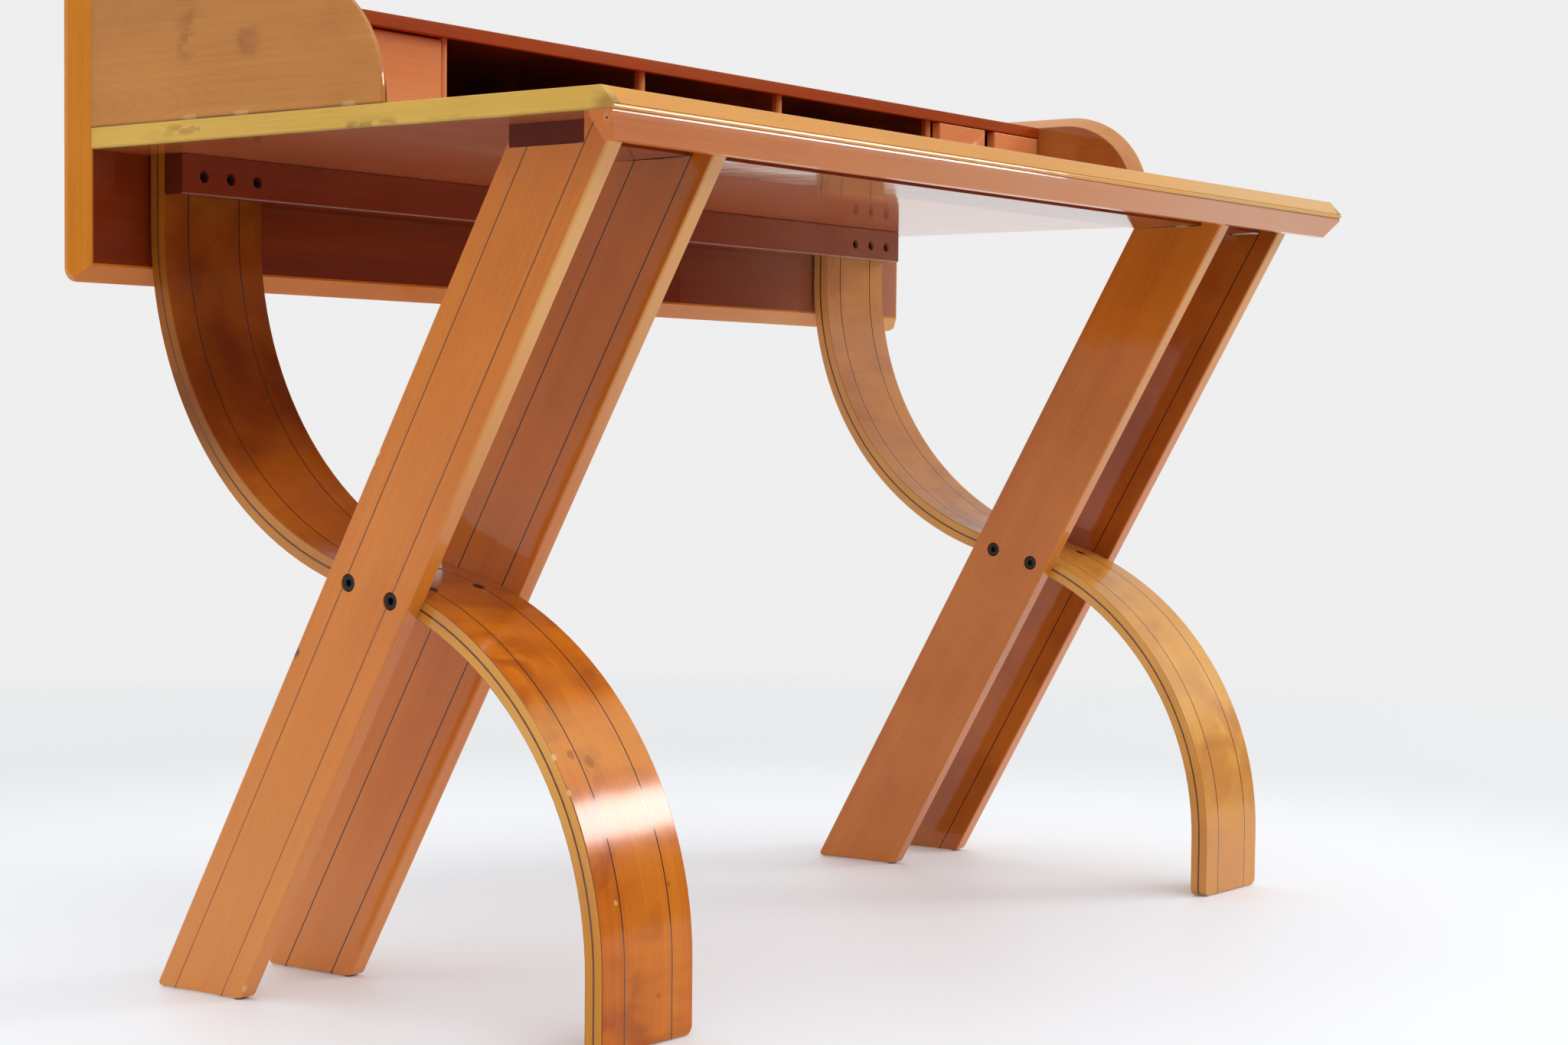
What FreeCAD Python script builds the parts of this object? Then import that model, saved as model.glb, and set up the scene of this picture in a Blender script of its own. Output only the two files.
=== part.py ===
"""Writing desk: a slab with a low gallery of pigeonholes and drawers, carried by two sets of crossed legs.

Each set has two straight slanting planks with a bent laminated leg bolted between them.
Lengths are in millimetres. X runs along the desk, Y from the sitter to the back, Z up.
The origin is on the floor under the middle of the whole desk.
"""
import FreeCAD, Part
import os
import Sketcher

SIZES = {
    # slab and its front edge
    "slab_length": 1260,
    "slab_depth": 570,
    "slab_thick": 18,
    "desk_height": 740,
    "end_lip": 8,
    "nosing_depth": 22,
    "bevel_run": 13,
    "bead_radius": 2,
    "arris_set": 0.5,
    "lip_set": 0.8,
    "lip_depth": 23,
    "lip_height": 21,
    "lip_undercut": 12.5,
    "lip_end_upright": 5,
    # rails under the slab
    "front_rail_set": 66,
    "front_rail_depth": 75,
    "front_rail_thick": 18,
    "rear_rail_depth": 22,
    "rear_rail_height": 35,
    "rail_round": 1.5,
    # back panel
    "panel_thick": 18,
    "panel_edge": 4,
    "panel_lip": 2,
    "panel_corner": 12,
    "panel_drop": 98.5,
    "panel_rise": 122,
    # gallery
    "gallery_set": 233,
    "gallery_upright": 9,
    "gallery_round": 100,
    "gallery_side": 18,
    "gallery_bevel": 10.5,
    "gallery_bevel_width": 14,
    "board_set": 367,
    "board_thick": 12,
    "board_height": 98.5,
    "divider_set": 377,
    "divider_thick": 8,
    "divider_near": 113,
    "divider_far": 395,
    "divider_flat": 1.2,
    "partition_set": 395,
    "partition_thick": 18,
    # drawers
    "drawer_set": 376.5,
    "drawer_pull": 9.5,
    "drawer_gap": 1.5,
    "drawer_float": 0.3,
    "drawer_top_gap": 0.8,
    "drawer_rear_gap": 5,
    "drawer_front_thick": 10,
    "drawer_wall": 6,
    "drawer_wall_height": 60,
    "drawer_bottom": 4,
    "drawer_round": 1.5,
    # legs
    "leg_inset": 46,
    "plank_thick": 18,
    "plank_span": 103,
    "plank_heel_set": 30.5,
    "plank_head": 32.5,
    "plank_round": 2,
    "plank_toe_round": 7,
    "plank_heel_round": 3,
    "bent_width": 116,
    "bent_ply": 8.1,
    "bent_core": 1.8,
    "bent_upright": 62,
    "bent_foot": 56.5,
    "bent_gap": 3.5,
    "bent_drop": 1,
    "bent_round": 0.8,
    "bent_toe_round": 7.5,
    "inlay_width": 1.4,
    "inlay_depth": 0.8,
    "plank_inlay_inset": 23,
    "bent_inlay_inset": 27.5,
    # feet
    "glide_inset": 8,
    "glide_edge": 2,
    "glide_thick": 1.2,
    # fasteners
    "hole_play": 0.1,
    "cross_pitch": 48.5,
    "cross_recess_depth": 9,
    "cross_recess_radius": 7.5,
    "cross_head_radius": 6.5,
    "cross_head_height": 8,
    "cross_shank_radius": 4,
    "cross_shank_length": 44,
    "cross_socket": 3.4,
    "nut_radius": 5,
    "nut_length": 14,
    "nut_inset": 29,
    "rail_pitch": 32,
    "rail_drop": 19,
    "rail_recess_depth": 10,
    "rail_recess_radius": 5.3,
    "rail_head_radius": 5,
    "rail_head_height": 6,
    "rail_shank_radius": 3,
    "rail_shank_length": 24,
    "rail_socket": 2.8,
    "screw_head_radius": 4.5,
    "screw_head_height": 4,
    "screw_shank_radius": 2.2,
    "screw_length": 42,
}

# Places worked out from the sizes. Y is counted from the slab's nose, and NOSE moves it to the desk's middle.
HALF_LENGTH = "(Sizes.slab_length / 2)"
NOSE = "(-(Sizes.slab_depth + Sizes.panel_thick) / 2)"
UNDER = "(Sizes.desk_height - Sizes.slab_thick)"
PANEL_FACE = f"({NOSE} + Sizes.slab_depth)"
PANEL_BACK = f"({PANEL_FACE} + Sizes.panel_thick)"
PANEL_BEVEL = "(Sizes.panel_thick - Sizes.panel_edge)"
PANEL_LOW = f"({UNDER} - Sizes.panel_drop)"
PANEL_HIGH = "(Sizes.desk_height + Sizes.panel_rise)"

OUTER_PLANK = f"({HALF_LENGTH} - Sizes.leg_inset - Sizes.plank_thick)"
BENT_NEAR = f"({OUTER_PLANK} - Sizes.bent_width)"
INNER_PLANK = f"({BENT_NEAR} - Sizes.plank_thick)"

# The bent leg's middle line: upright at the back, an arc down to the crossing,
# and an equal arc on to an upright foot.
BENT_HALF_THICK = "(Sizes.bent_ply + Sizes.bent_core / 2)"
BENT_TOP = f"({PANEL_FACE} - Sizes.bent_gap - {BENT_HALF_THICK})"
BENT_FOOT = f"({NOSE} + Sizes.bent_foot + {BENT_HALF_THICK})"
CROSS_Y = f"(({BENT_TOP} + {BENT_FOOT}) / 2)"
CROSS_Z = f"({UNDER} / 2 - Sizes.bent_drop)"
BENT_RISE = f"({UNDER} - Sizes.bent_upright - {CROSS_Z})"
CROSS_SLOPE = f"(90 deg - 2 * atan(({BENT_TOP} - {BENT_FOOT}) / 2 / {BENT_RISE}))"
BENT_RADIUS = f"({BENT_RISE} / cos({CROSS_SLOPE}))"
BENT_SWEEP = f"(90 deg - {CROSS_SLOPE})"

RAIL_FACE = f"({BENT_TOP} - {BENT_HALF_THICK} - Sizes.rear_rail_depth)"
RAIL_BOTTOM = f"({UNDER} - Sizes.front_rail_thick)"
PLANK_HEIGHT = f"({UNDER} - Sizes.glide_thick)"
PLANK_FOOT = "(Sizes.slab_depth - Sizes.plank_heel_set)"
PLANK_LEAN = f"({PLANK_FOOT} - Sizes.plank_span - Sizes.plank_head)"

BOARD_UNDER = "(Sizes.desk_height + Sizes.board_height - Sizes.board_thick)"
BAY_NEAR = "(Sizes.divider_far + Sizes.divider_thick / 2)"
BAY_WIDTH = f"({HALF_LENGTH} - Sizes.gallery_side - {BAY_NEAR})"
DRAWER_WIDTH = f"(({BAY_WIDTH} - Sizes.partition_thick - 4 * Sizes.drawer_gap) / 2)"
INNER_DRAWER = f"({BAY_NEAR} + Sizes.drawer_gap)"
PARTITION = f"({INNER_DRAWER} + {DRAWER_WIDTH} + Sizes.drawer_gap)"
OUTER_DRAWER = f"({PARTITION} + Sizes.partition_thick + Sizes.drawer_gap)"

# How near counts as the same place, where an edge is picked by where it lies
CLOSE = 1e-4

LEFT = -1
RIGHT = 1
SIDE_NAMES = {LEFT: "left", RIGHT: "right"}

doc = FreeCAD.newDocument("desk")
sheet = doc.addObject("Spreadsheet::Sheet", "Sizes")
for row, (alias, amount) in enumerate(SIZES.items(), start=1):
    sheet.set(f"A{row}", str(amount))
    sheet.setAlias(f"A{row}", alias)
doc.recompute()

parts = {}


def value(expression):
    """The number that an expression on the sheet comes to."""
    result = sheet.evalExpression(expression)
    return float(getattr(result, "Value", result))


def keep(label, solid):
    """Names a finished piece."""
    solid.Label = label
    parts[label] = solid
    return solid


def bind(solid, **sizes):
    for name, expression in sizes.items():
        solid.setExpression(name, expression)
    return solid


def place(solid, point):
    for axis, expression in zip("xyz", point):
        solid.setExpression(f"Placement.Base.{axis}", expression)
    return solid


def turned(solid, rotation):
    solid.Placement = FreeCAD.Placement(FreeCAD.Vector(), rotation)
    return solid


def block(name, corner, size):
    solid = doc.addObject("Part::Box", name)
    bind(solid, Length=size[0], Width=size[1], Height=size[2])
    return place(solid, corner)


def rod(name, start, direction, radius, length):
    solid = doc.addObject("Part::Cylinder", name)
    turned(solid, FreeCAD.Rotation(FreeCAD.Vector(0, 0, 1), FreeCAD.Vector(*direction)))
    bind(solid, Radius=radius, Height=length)
    return place(solid, start)


def wedge(name, low, high, corner=("0", "0", "0"), rotation=None):
    """A block whose two end faces, at its own Y low and high, have their own spans in X and Z."""
    solid = doc.addObject("Part::Wedge", name)
    bind(solid, Ymin=low[0], Xmin=low[1], Xmax=low[2], Zmin=low[3], Zmax=low[4])
    bind(solid, Ymax=high[0], X2min=high[1], X2max=high[2], Z2min=high[3], Z2max=high[4])
    if rotation:
        turned(solid, rotation)
    return place(solid, corner)


def cut(name, base, *tools):
    for number, tool in enumerate(tools):
        result = doc.addObject("Part::Cut", f"{name}_cut_{number}")
        result.Base = base
        result.Tool = tool
        base = result
    return base


def common(name, base, tool):
    result = doc.addObject("Part::Common", name)
    result.Base = base
    result.Tool = tool
    return result


def fused(name, solids):
    result = doc.addObject("Part::MultiFuse", name)
    result.Shapes = solids
    result.Refine = True
    return result


def group(name, solids):
    result = doc.addObject("Part::Compound", name)
    result.Links = solids
    return result


def rounded(base, radius, picks, kind="Fillet"):
    """Rounds the edges of a piece that picks says yes to, or takes them off flat as a Chamfer."""
    doc.recompute()
    amount = value(radius)
    result = doc.addObject(f"Part::{kind}", f"{base.Name}_{kind}")
    result.Base = base
    chosen = [number for number, edge in enumerate(base.Shape.Edges, start=1) if picks(edge)]
    result.Edges = [(number, amount, amount) for number in chosen]
    return result


def runs_along(edge, direction):
    """Whether an edge is straight and lies along a direction."""
    if not isinstance(edge.Curve, Part.Line):
        return False
    return edge.Curve.Direction.cross(FreeCAD.Vector(*direction)).Length < CLOSE


def x_start(side, near, width):
    """The lowest X of a piece on one side whose nearer face is a distance from the middle."""
    return near if side == RIGHT else f"(-({near} + {width}))"


def moved(point, direction, distance):
    """A point taken a distance along one of the axes."""
    return tuple(f"({p} + {d} * ({distance}))" if d else p for p, d in zip(point, direction))


def new_body(name):
    body = doc.addObject("PartDesign::Body", name)
    plane = next(item for item in body.Origin.OriginFeatures if item.Role == "YZ_Plane")
    sketch = body.newObject("Sketcher::SketchObject", f"{name}_outline")
    sketch.AttachmentSupport = [(plane, "")]
    sketch.MapMode = "FlatFace"
    return body, sketch


def pin_corner(sketch, edge, end, point):
    """Ties one end of an edge in a sketch to a place given by two expressions."""
    for kind, expression in zip(("DistanceX", "DistanceY"), point):
        rule = Sketcher.Constraint(kind, -1, 1, edge, end, value(expression))
        sketch.setExpression(f"Constraints[{sketch.addConstraint(rule)}]", expression)


def straight_outline(sketch, points):
    corners = [FreeCAD.Vector(value(u), value(v), 0) for u, v in points]
    following = corners[1:] + corners[:1]
    for start, end in zip(corners, following):
        sketch.addGeometry(Part.LineSegment(start, end))
    for edge, point in enumerate(points):
        before = (edge - 1) % len(points)
        sketch.addConstraint(Sketcher.Constraint("Coincident", before, 2, edge, 1))
        pin_corner(sketch, edge, 1, point)


def padded(body, sketch, length):
    pad = body.newObject("PartDesign::Pad", f"{body.Name}_pad")
    pad.Profile = sketch
    pad.setExpression("Length", length)
    doc.recompute()
    return pad


def profile_body(name, points, corner_x, length):
    """A straight-sided outline, in Y from the nose and Z from the floor, run along X."""
    body, sketch = new_body(name)
    straight_outline(sketch, points)
    pad = padded(body, sketch, length)
    place(body, (corner_x, NOSE, "0"))
    return body, pad


def bevelled_edge(depth):
    """The outline of the slab's bevelled front, above the bead, back to a depth."""
    bead_top = f"({UNDER} + 2 * Sizes.bead_radius)"
    return [
        ("Sizes.bead_radius", UNDER),
        (depth, UNDER),
        (depth, "Sizes.desk_height"),
        ("Sizes.bevel_run", "Sizes.desk_height"),
        ("Sizes.arris_set", bead_top),
        ("Sizes.bead_radius", bead_top),
    ]


# Slab, with a bevelled nosing along its front and a lipping over each end
def make_slab():
    core_half = f"({HALF_LENGTH} - Sizes.end_lip)"
    core_length = f"(2 * {core_half})"
    core = block(
        "slab",
        (f"(-{core_half})", f"({NOSE} + Sizes.nosing_depth)", UNDER),
        (core_length, "(Sizes.slab_depth - Sizes.nosing_depth)", "Sizes.slab_thick"),
    )
    keep("top_slab", core)
    nosing_outline = bevelled_edge("Sizes.nosing_depth")
    nosing, _ = profile_body("nosing", nosing_outline, f"(-{core_half})", core_length)
    keep("front_nosing", nosing)
    for side, word in SIDE_NAMES.items():
        start_x = x_start(side, core_half, "Sizes.end_lip")
        lip_outline = bevelled_edge("Sizes.slab_depth")
        lipping, _ = profile_body(f"end_lip_{word}", lip_outline, start_x, "Sizes.end_lip")
        keep(f"top_end_lip_{word}", lipping)


# Half-round bead along the front, and the lip below with its undercut front and slanting ends
def make_front_edge():
    start_x = f"(-{HALF_LENGTH})"
    axis = (start_x, f"({NOSE} + Sizes.bead_radius)", f"({UNDER} + Sizes.bead_radius)")
    dowel = rod("bead_dowel", axis, (1, 0, 0), "Sizes.bead_radius", "Sizes.slab_length")
    front_half = block(
        "bead_front",
        (start_x, NOSE, UNDER),
        ("Sizes.slab_length", "Sizes.bead_radius", "2 * Sizes.bead_radius"),
    )
    keep("front_bead", common("bead", dowel, front_half))

    lip_rear = "(Sizes.lip_set + Sizes.lip_depth)"
    lip_low = f"({UNDER} - Sizes.lip_height)"
    lip = wedge(
        "lip",
        ("0", f"-{HALF_LENGTH}", HALF_LENGTH, f"-{lip_rear}", "-(Sizes.lip_set + Sizes.lip_undercut)"),
        ("Sizes.lip_height", f"-{HALF_LENGTH}", HALF_LENGTH, f"-{lip_rear}", "-Sizes.lip_set"),
        ("0", NOSE, lip_low),
        FreeCAD.Rotation(FreeCAD.Vector(1, 0, 0), 90),
    )
    low = value(lip_low)
    lip = rounded(
        lip,
        "(Sizes.lip_height - Sizes.lip_end_upright)",
        lambda edge: runs_along(edge, (0, 1, 0)) and abs(edge.CenterOfMass.z - low) < CLOSE,
        "Chamfer",
    )
    keep("front_lip", lip)


# Back panel: a plain core with four mitred lippings, bevelled so that the back is larger than the front
def make_back_panel():
    core_half = f"({HALF_LENGTH} - Sizes.panel_lip)"
    core_low = f"({PANEL_LOW} + Sizes.panel_lip)"
    core_high = f"({PANEL_HIGH} - Sizes.panel_lip)"
    core = block(
        "panel_core",
        (f"(-{core_half})", PANEL_FACE, core_low),
        (f"(2 * {core_half})", "Sizes.panel_thick", f"({core_high} - {core_low})"),
    )
    keep("back_panel", core)

    outer_half = f"({HALF_LENGTH} + {PANEL_BEVEL})"
    outer_low = f"({PANEL_LOW} - {PANEL_BEVEL})"
    outer_high = f"({PANEL_HIGH} + {PANEL_BEVEL})"
    bevel_end = f"({PANEL_FACE} + {PANEL_BEVEL})"
    bevelled = wedge(
        "panel_bevelled",
        (PANEL_FACE, f"-{HALF_LENGTH}", HALF_LENGTH, PANEL_LOW, PANEL_HIGH),
        (bevel_end, f"-{outer_half}", outer_half, outer_low, outer_high),
    )
    square = block(
        "panel_square",
        (f"(-{outer_half})", bevel_end, outer_low),
        (f"(2 * {outer_half})", "Sizes.panel_edge", f"({outer_high} - {outer_low})"),
    )
    outline = block(
        "panel_outline",
        (f"(-{outer_half})", PANEL_FACE, outer_low),
        (f"(2 * {outer_half})", "Sizes.panel_thick", f"({outer_high} - {outer_low})"),
    )
    outline = rounded(outline, "Sizes.panel_corner", lambda edge: runs_along(edge, (0, 1, 0)))
    blank = common("panel_blank", fused("panel_square_cornered", [bevelled, square]), outline)

    about_x = FreeCAD.Vector(1, 0, 0)
    about_z = FreeCAD.Vector(0, 0, 1)
    forward = (PANEL_FACE, PANEL_BACK)
    backward = (f"-{PANEL_BACK}", f"-{PANEL_FACE}")
    mitres = {
        "left": wedge(
            "mitre_left",
            (core_half, *forward, core_low, core_high),
            (outer_half, *forward, outer_low, outer_high),
            rotation=FreeCAD.Rotation(about_z, 90),
        ),
        "right": wedge(
            "mitre_right",
            (core_half, *backward, core_low, core_high),
            (outer_half, *backward, outer_low, outer_high),
            rotation=FreeCAD.Rotation(about_z, -90),
        ),
        "top": wedge(
            "mitre_top",
            (core_high, f"-{core_half}", core_half, *backward),
            (outer_high, f"-{outer_half}", outer_half, *backward),
            rotation=FreeCAD.Rotation(about_x, 90),
        ),
        "bottom": wedge(
            "mitre_bottom",
            (f"-{core_low}", f"-{core_half}", core_half, *forward),
            (f"-{outer_low}", f"-{outer_half}", outer_half, *forward),
            rotation=FreeCAD.Rotation(about_x, -90),
        ),
    }
    for word, mitre in mitres.items():
        keep(f"back_panel_lip_{word}", common(f"panel_lip_{word}", blank, mitre))


# Gallery sides: a quarter-round front, bevelled along the inner edge
def make_gallery_sides():
    rear = "Sizes.slab_depth"
    front = "Sizes.gallery_set"
    low = "Sizes.desk_height"
    round_low = "(Sizes.desk_height + Sizes.gallery_upright)"
    high = f"({round_low} + Sizes.gallery_round)"
    centre = ("(Sizes.gallery_set + Sizes.gallery_round)", round_low)
    for side, word in SIDE_NAMES.items():
        body, sketch = new_body(f"gallery_side_{word}")
        middle = FreeCAD.Vector(value(centre[0]), value(centre[1]), 0)
        radius = value("Sizes.gallery_round")
        square = ((front, low), (rear, low), (rear, high))
        corners = [FreeCAD.Vector(value(u), value(v), 0) for u, v in square]
        arc_start = middle + FreeCAD.Vector(0, radius, 0)
        arc_end = middle - FreeCAD.Vector(radius, 0, 0)
        sketch.addGeometry(Part.LineSegment(corners[0], corners[1]))
        sketch.addGeometry(Part.LineSegment(corners[1], corners[2]))
        sketch.addGeometry(Part.LineSegment(corners[2], arc_start))
        arc_middle = middle + FreeCAD.Vector(-radius, radius, 0).normalize() * radius
        sketch.addGeometry(Part.Arc(arc_start, arc_middle, arc_end))
        sketch.addGeometry(Part.LineSegment(arc_end, corners[0]))
        sketch.addConstraint(Sketcher.Constraint("Coincident", 0, 2, 1, 1))
        sketch.addConstraint(Sketcher.Constraint("Coincident", 1, 2, 2, 1))
        sketch.addConstraint(Sketcher.Constraint("Tangent", 2, 2, 3, 1))
        sketch.addConstraint(Sketcher.Constraint("Tangent", 3, 2, 4, 1))
        sketch.addConstraint(Sketcher.Constraint("Coincident", 4, 2, 0, 1))
        sketch.addConstraint(Sketcher.Constraint("Horizontal", 2))
        sketch.addConstraint(Sketcher.Constraint("Vertical", 4))
        pin_corner(sketch, 0, 1, (front, low))
        pin_corner(sketch, 1, 1, (rear, low))
        pin_corner(sketch, 2, 1, (rear, high))
        arc_rule = sketch.addConstraint(Sketcher.Constraint("Radius", 3, radius))
        sketch.setExpression(f"Constraints[{arc_rule}]", "Sizes.gallery_round")
        pad = padded(body, sketch, "Sizes.gallery_side")
        inner_face = value("Sizes.gallery_side") if side == LEFT else 0
        rims = []
        for number, edge in enumerate(pad.Shape.Edges, start=1):
            at = edge.CenterOfMass
            on_rim = at.y < value(rear) - CLOSE and at.z > value(low) + CLOSE
            if abs(at.x - inner_face) < CLOSE and on_rim:
                rims.append(f"Edge{number}")
        bevel = body.newObject("PartDesign::Chamfer", f"gallery_bevel_{word}")
        bevel.Base = (pad, rims)
        bevel.ChamferType = "Two distances"
        bevel.FlipDirection = True
        bevel.setExpression("Size", "Sizes.gallery_bevel")
        bevel.setExpression("Size2", "Sizes.gallery_bevel_width")
        near = f"({HALF_LENGTH} - Sizes.gallery_side)"
        place(body, (x_start(side, near, "Sizes.gallery_side"), NOSE, "0"))
        keep(f"gallery_side_{word}", body)


# Gallery shelf and uprights
def make_gallery_inside():
    half = f"({HALF_LENGTH} - Sizes.gallery_side)"
    board = block(
        "board",
        (f"(-{half})", f"({NOSE} + Sizes.board_set)", BOARD_UNDER),
        (f"(2 * {half})", "(Sizes.slab_depth - Sizes.board_set)", "Sizes.board_thick"),
    )
    keep("gallery_top", board)
    height = f"({BOARD_UNDER} - Sizes.desk_height)"
    places = [(LEFT, "far"), (LEFT, "near"), (RIGHT, "near"), (RIGHT, "far")]
    for number, (side, word) in enumerate(places, start=1):
        near = f"(Sizes.divider_{word} - Sizes.divider_thick / 2)"
        front_y = f"({NOSE} + Sizes.divider_set)"
        upright = block(
            f"divider_{number}",
            (x_start(side, near, "Sizes.divider_thick"), front_y, "Sizes.desk_height"),
            ("Sizes.divider_thick", "(Sizes.slab_depth - Sizes.divider_set)", height),
        )
        front = value(front_y)
        softened = rounded(
            upright,
            "(Sizes.divider_thick - Sizes.divider_flat) / 2",
            lambda edge: runs_along(edge, (0, 0, 1)) and abs(edge.CenterOfMass.y - front) < CLOSE,
        )
        keep(f"gallery_divider_{number}", softened)
    for side, word in SIDE_NAMES.items():
        corner = (
            x_start(side, PARTITION, "Sizes.partition_thick"),
            f"({NOSE} + Sizes.partition_set)",
            "Sizes.desk_height",
        )
        size = ("Sizes.partition_thick", "(Sizes.slab_depth - Sizes.partition_set)", height)
        keep(f"drawer_partition_{word}", block(f"partition_{word}", corner, size))


# Drawers, numbered from the left: a front with rounded edges and a plain box behind it.
# The left pair is shut, and the right pair stands a little way out.
def make_drawer(number, side, near):
    name = f"drawer_{number}"
    left = x_start(side, near, DRAWER_WIDTH)
    front_y = f"({NOSE} + Sizes.drawer_set - {'Sizes.drawer_pull' if side == RIGHT else '0'})"
    low = "(Sizes.desk_height + Sizes.drawer_float)"
    front_height = f"({BOARD_UNDER} - Sizes.drawer_top_gap - {low})"
    face_size = (DRAWER_WIDTH, "Sizes.drawer_front_thick", front_height)
    face = block(f"{name}_face", (left, front_y, low), face_size)
    face_y = value(front_y)
    softened = rounded(face, "Sizes.drawer_round", lambda edge: abs(edge.CenterOfMass.y - face_y) < CLOSE)
    keep(f"{name}_front", softened)

    box_y = f"({front_y} + Sizes.drawer_front_thick)"
    box_depth = "(Sizes.slab_depth - Sizes.drawer_rear_gap - Sizes.drawer_set - Sizes.drawer_front_thick)"
    wall = "Sizes.drawer_wall"
    wall_size = (wall, box_depth, "Sizes.drawer_wall_height")
    keep(f"{name}_side_left", block(f"{name}_wall_left", (left, box_y, low), wall_size))
    right = f"({left} + {DRAWER_WIDTH} - {wall})"
    keep(f"{name}_side_right", block(f"{name}_wall_right", (right, box_y, low), wall_size))

    inside = f"({DRAWER_WIDTH} - 2 * {wall})"
    inside_x = f"({left} + {wall})"
    rear_y = f"({box_y} + {box_depth} - {wall})"
    rear = block(f"{name}_rear", (inside_x, rear_y, low), (inside, wall, "Sizes.drawer_wall_height"))
    keep(f"{name}_back", rear)
    floor_size = (inside, f"({box_depth} - {wall})", "Sizes.drawer_bottom")
    keep(f"{name}_bottom", block(f"{name}_floor", (inside_x, box_y, low), floor_size))


def make_drawers():
    places = [(LEFT, OUTER_DRAWER), (LEFT, INNER_DRAWER), (RIGHT, INNER_DRAWER), (RIGHT, OUTER_DRAWER)]
    for number, (side, near) in enumerate(places, start=1):
        make_drawer(number, side, near)


# Fasteners: a socket-head screw seen from its seat, where the underside of its head rests
def socket_screw(name, kind, seat, direction):
    part_of = f"Sizes.{kind}"
    head_height = f"{part_of}_head_height"
    backwards = moved(seat, direction, f"-{head_height}")
    head = rod(f"{name}_head", backwards, direction, f"{part_of}_head_radius", head_height)
    shank = rod(f"{name}_shank", seat, direction, f"{part_of}_shank_radius", f"{part_of}_shank_length")
    socket = doc.addObject("Part::Prism", f"{name}_socket")
    socket.Polygon = 6
    turned(socket, FreeCAD.Rotation(FreeCAD.Vector(0, 0, 1), FreeCAD.Vector(*direction)))
    bind(socket, Circumradius=f"{part_of}_socket", Height=f"{head_height} / 2")
    place(socket, backwards)
    return cut(name, fused(f"{name}_solid", [head, shank]), socket)


def crossing_places():
    """Y, Z and tilt of the two bolt lines of a leg set: one at the crossing, one down the bent leg."""
    step = f"(Sizes.cross_pitch / {BENT_RADIUS} * 1 rad)"
    lower_tilt = f"({CROSS_SLOPE} + {step})"
    lower_y = f"({BENT_FOOT} + {BENT_RADIUS} * (1 - sin({lower_tilt})))"
    lower_z = f"({CROSS_Z} - {BENT_RISE} + {BENT_RADIUS} * cos({lower_tilt}))"
    return [(CROSS_Y, CROSS_Z, CROSS_SLOPE), (lower_y, lower_z, lower_tilt)]


# Legs
def axes_turn(along_x, along_y, along_z):
    """The rotation that lays a piece's own three axes along the given directions."""
    directions = [FreeCAD.Vector(*along) for along in (along_x, along_y, along_z)]
    return FreeCAD.Rotation(*directions, "XYZ")


UPPER_TURN = axes_turn((0, 1, 0), (0, 0, -1), (-1, 0, 0))
LOWER_TURN = axes_turn((0, -1, 0), (0, 0, 1), (-1, 0, 0))
UPRIGHT_TURN = axes_turn((0, 1, 0), (0, 0, 1), (1, 0, 0))


def bend(name, centre, width, outer, inner, turn):
    """A stretch of the bent leg: a slice of a ring that lies along X."""
    whole = doc.addObject("Part::Cylinder", f"{name}_outer")
    hollow = doc.addObject("Part::Cylinder", f"{name}_inner")
    for solid, radius in ((whole, outer), (hollow, inner)):
        turned(solid, turn)
        bind(solid, Radius=radius, Height=width)
        place(solid, centre)
    whole.setExpression("Angle", BENT_SWEEP)
    return cut(name, whole, hollow)


def bent_strip(name, start_x, width, low, high):
    """The bent leg between two distances from its middle line, counted towards its front and top face."""
    end_x = f"({start_x} + {width})"
    thick = f"({high} - {low})"
    arc_top = f"({CROSS_Z} + {BENT_RISE})"
    arc_foot = f"({CROSS_Z} - {BENT_RISE})"
    upright = block(
        f"{name}_upright",
        (start_x, f"({BENT_TOP} - {high})", arc_top),
        (width, thick, f"({UNDER} - {arc_top})"),
    )
    foot = block(
        f"{name}_foot",
        (start_x, f"({BENT_FOOT} - {high})", "Sizes.glide_thick"),
        (width, thick, f"({arc_foot} - Sizes.glide_thick)"),
    )
    radius = BENT_RADIUS
    upper_centre = (end_x, f"({BENT_TOP} - {radius})", arc_top)
    lower_centre = (end_x, f"({BENT_FOOT} + {radius})", arc_foot)
    upper_radii = (f"({radius} - {low})", f"({radius} - {high})")
    lower_radii = (f"({radius} + {high})", f"({radius} + {low})")
    upper = bend(f"{name}_upper", upper_centre, width, *upper_radii, UPPER_TURN)
    lower = bend(f"{name}_lower", lower_centre, width, *lower_radii, LOWER_TURN)
    return fused(name, [upright, upper, lower, foot])


def on_bent_face(edge, offset):
    """Whether an edge runs down the bent leg on the face at one distance from its middle line."""
    if isinstance(edge.Curve, Part.Circle):
        bends = (value(BENT_RADIUS) - offset, value(BENT_RADIUS) + offset)
        return min(abs(edge.Curve.Radius - radius) for radius in bends) < CLOSE
    lines = (value(BENT_TOP) - offset, value(BENT_FOOT) - offset)
    return runs_along(edge, (0, 0, 1)) and min(abs(edge.CenterOfMass.y - y) for y in lines) < CLOSE


def at_bent_toe(edge):
    """Whether an edge crosses the thickness of the bent leg at a corner of its foot."""
    return runs_along(edge, (0, 1, 0)) and abs(edge.CenterOfMass.z - value("Sizes.glide_thick")) < CLOSE


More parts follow.
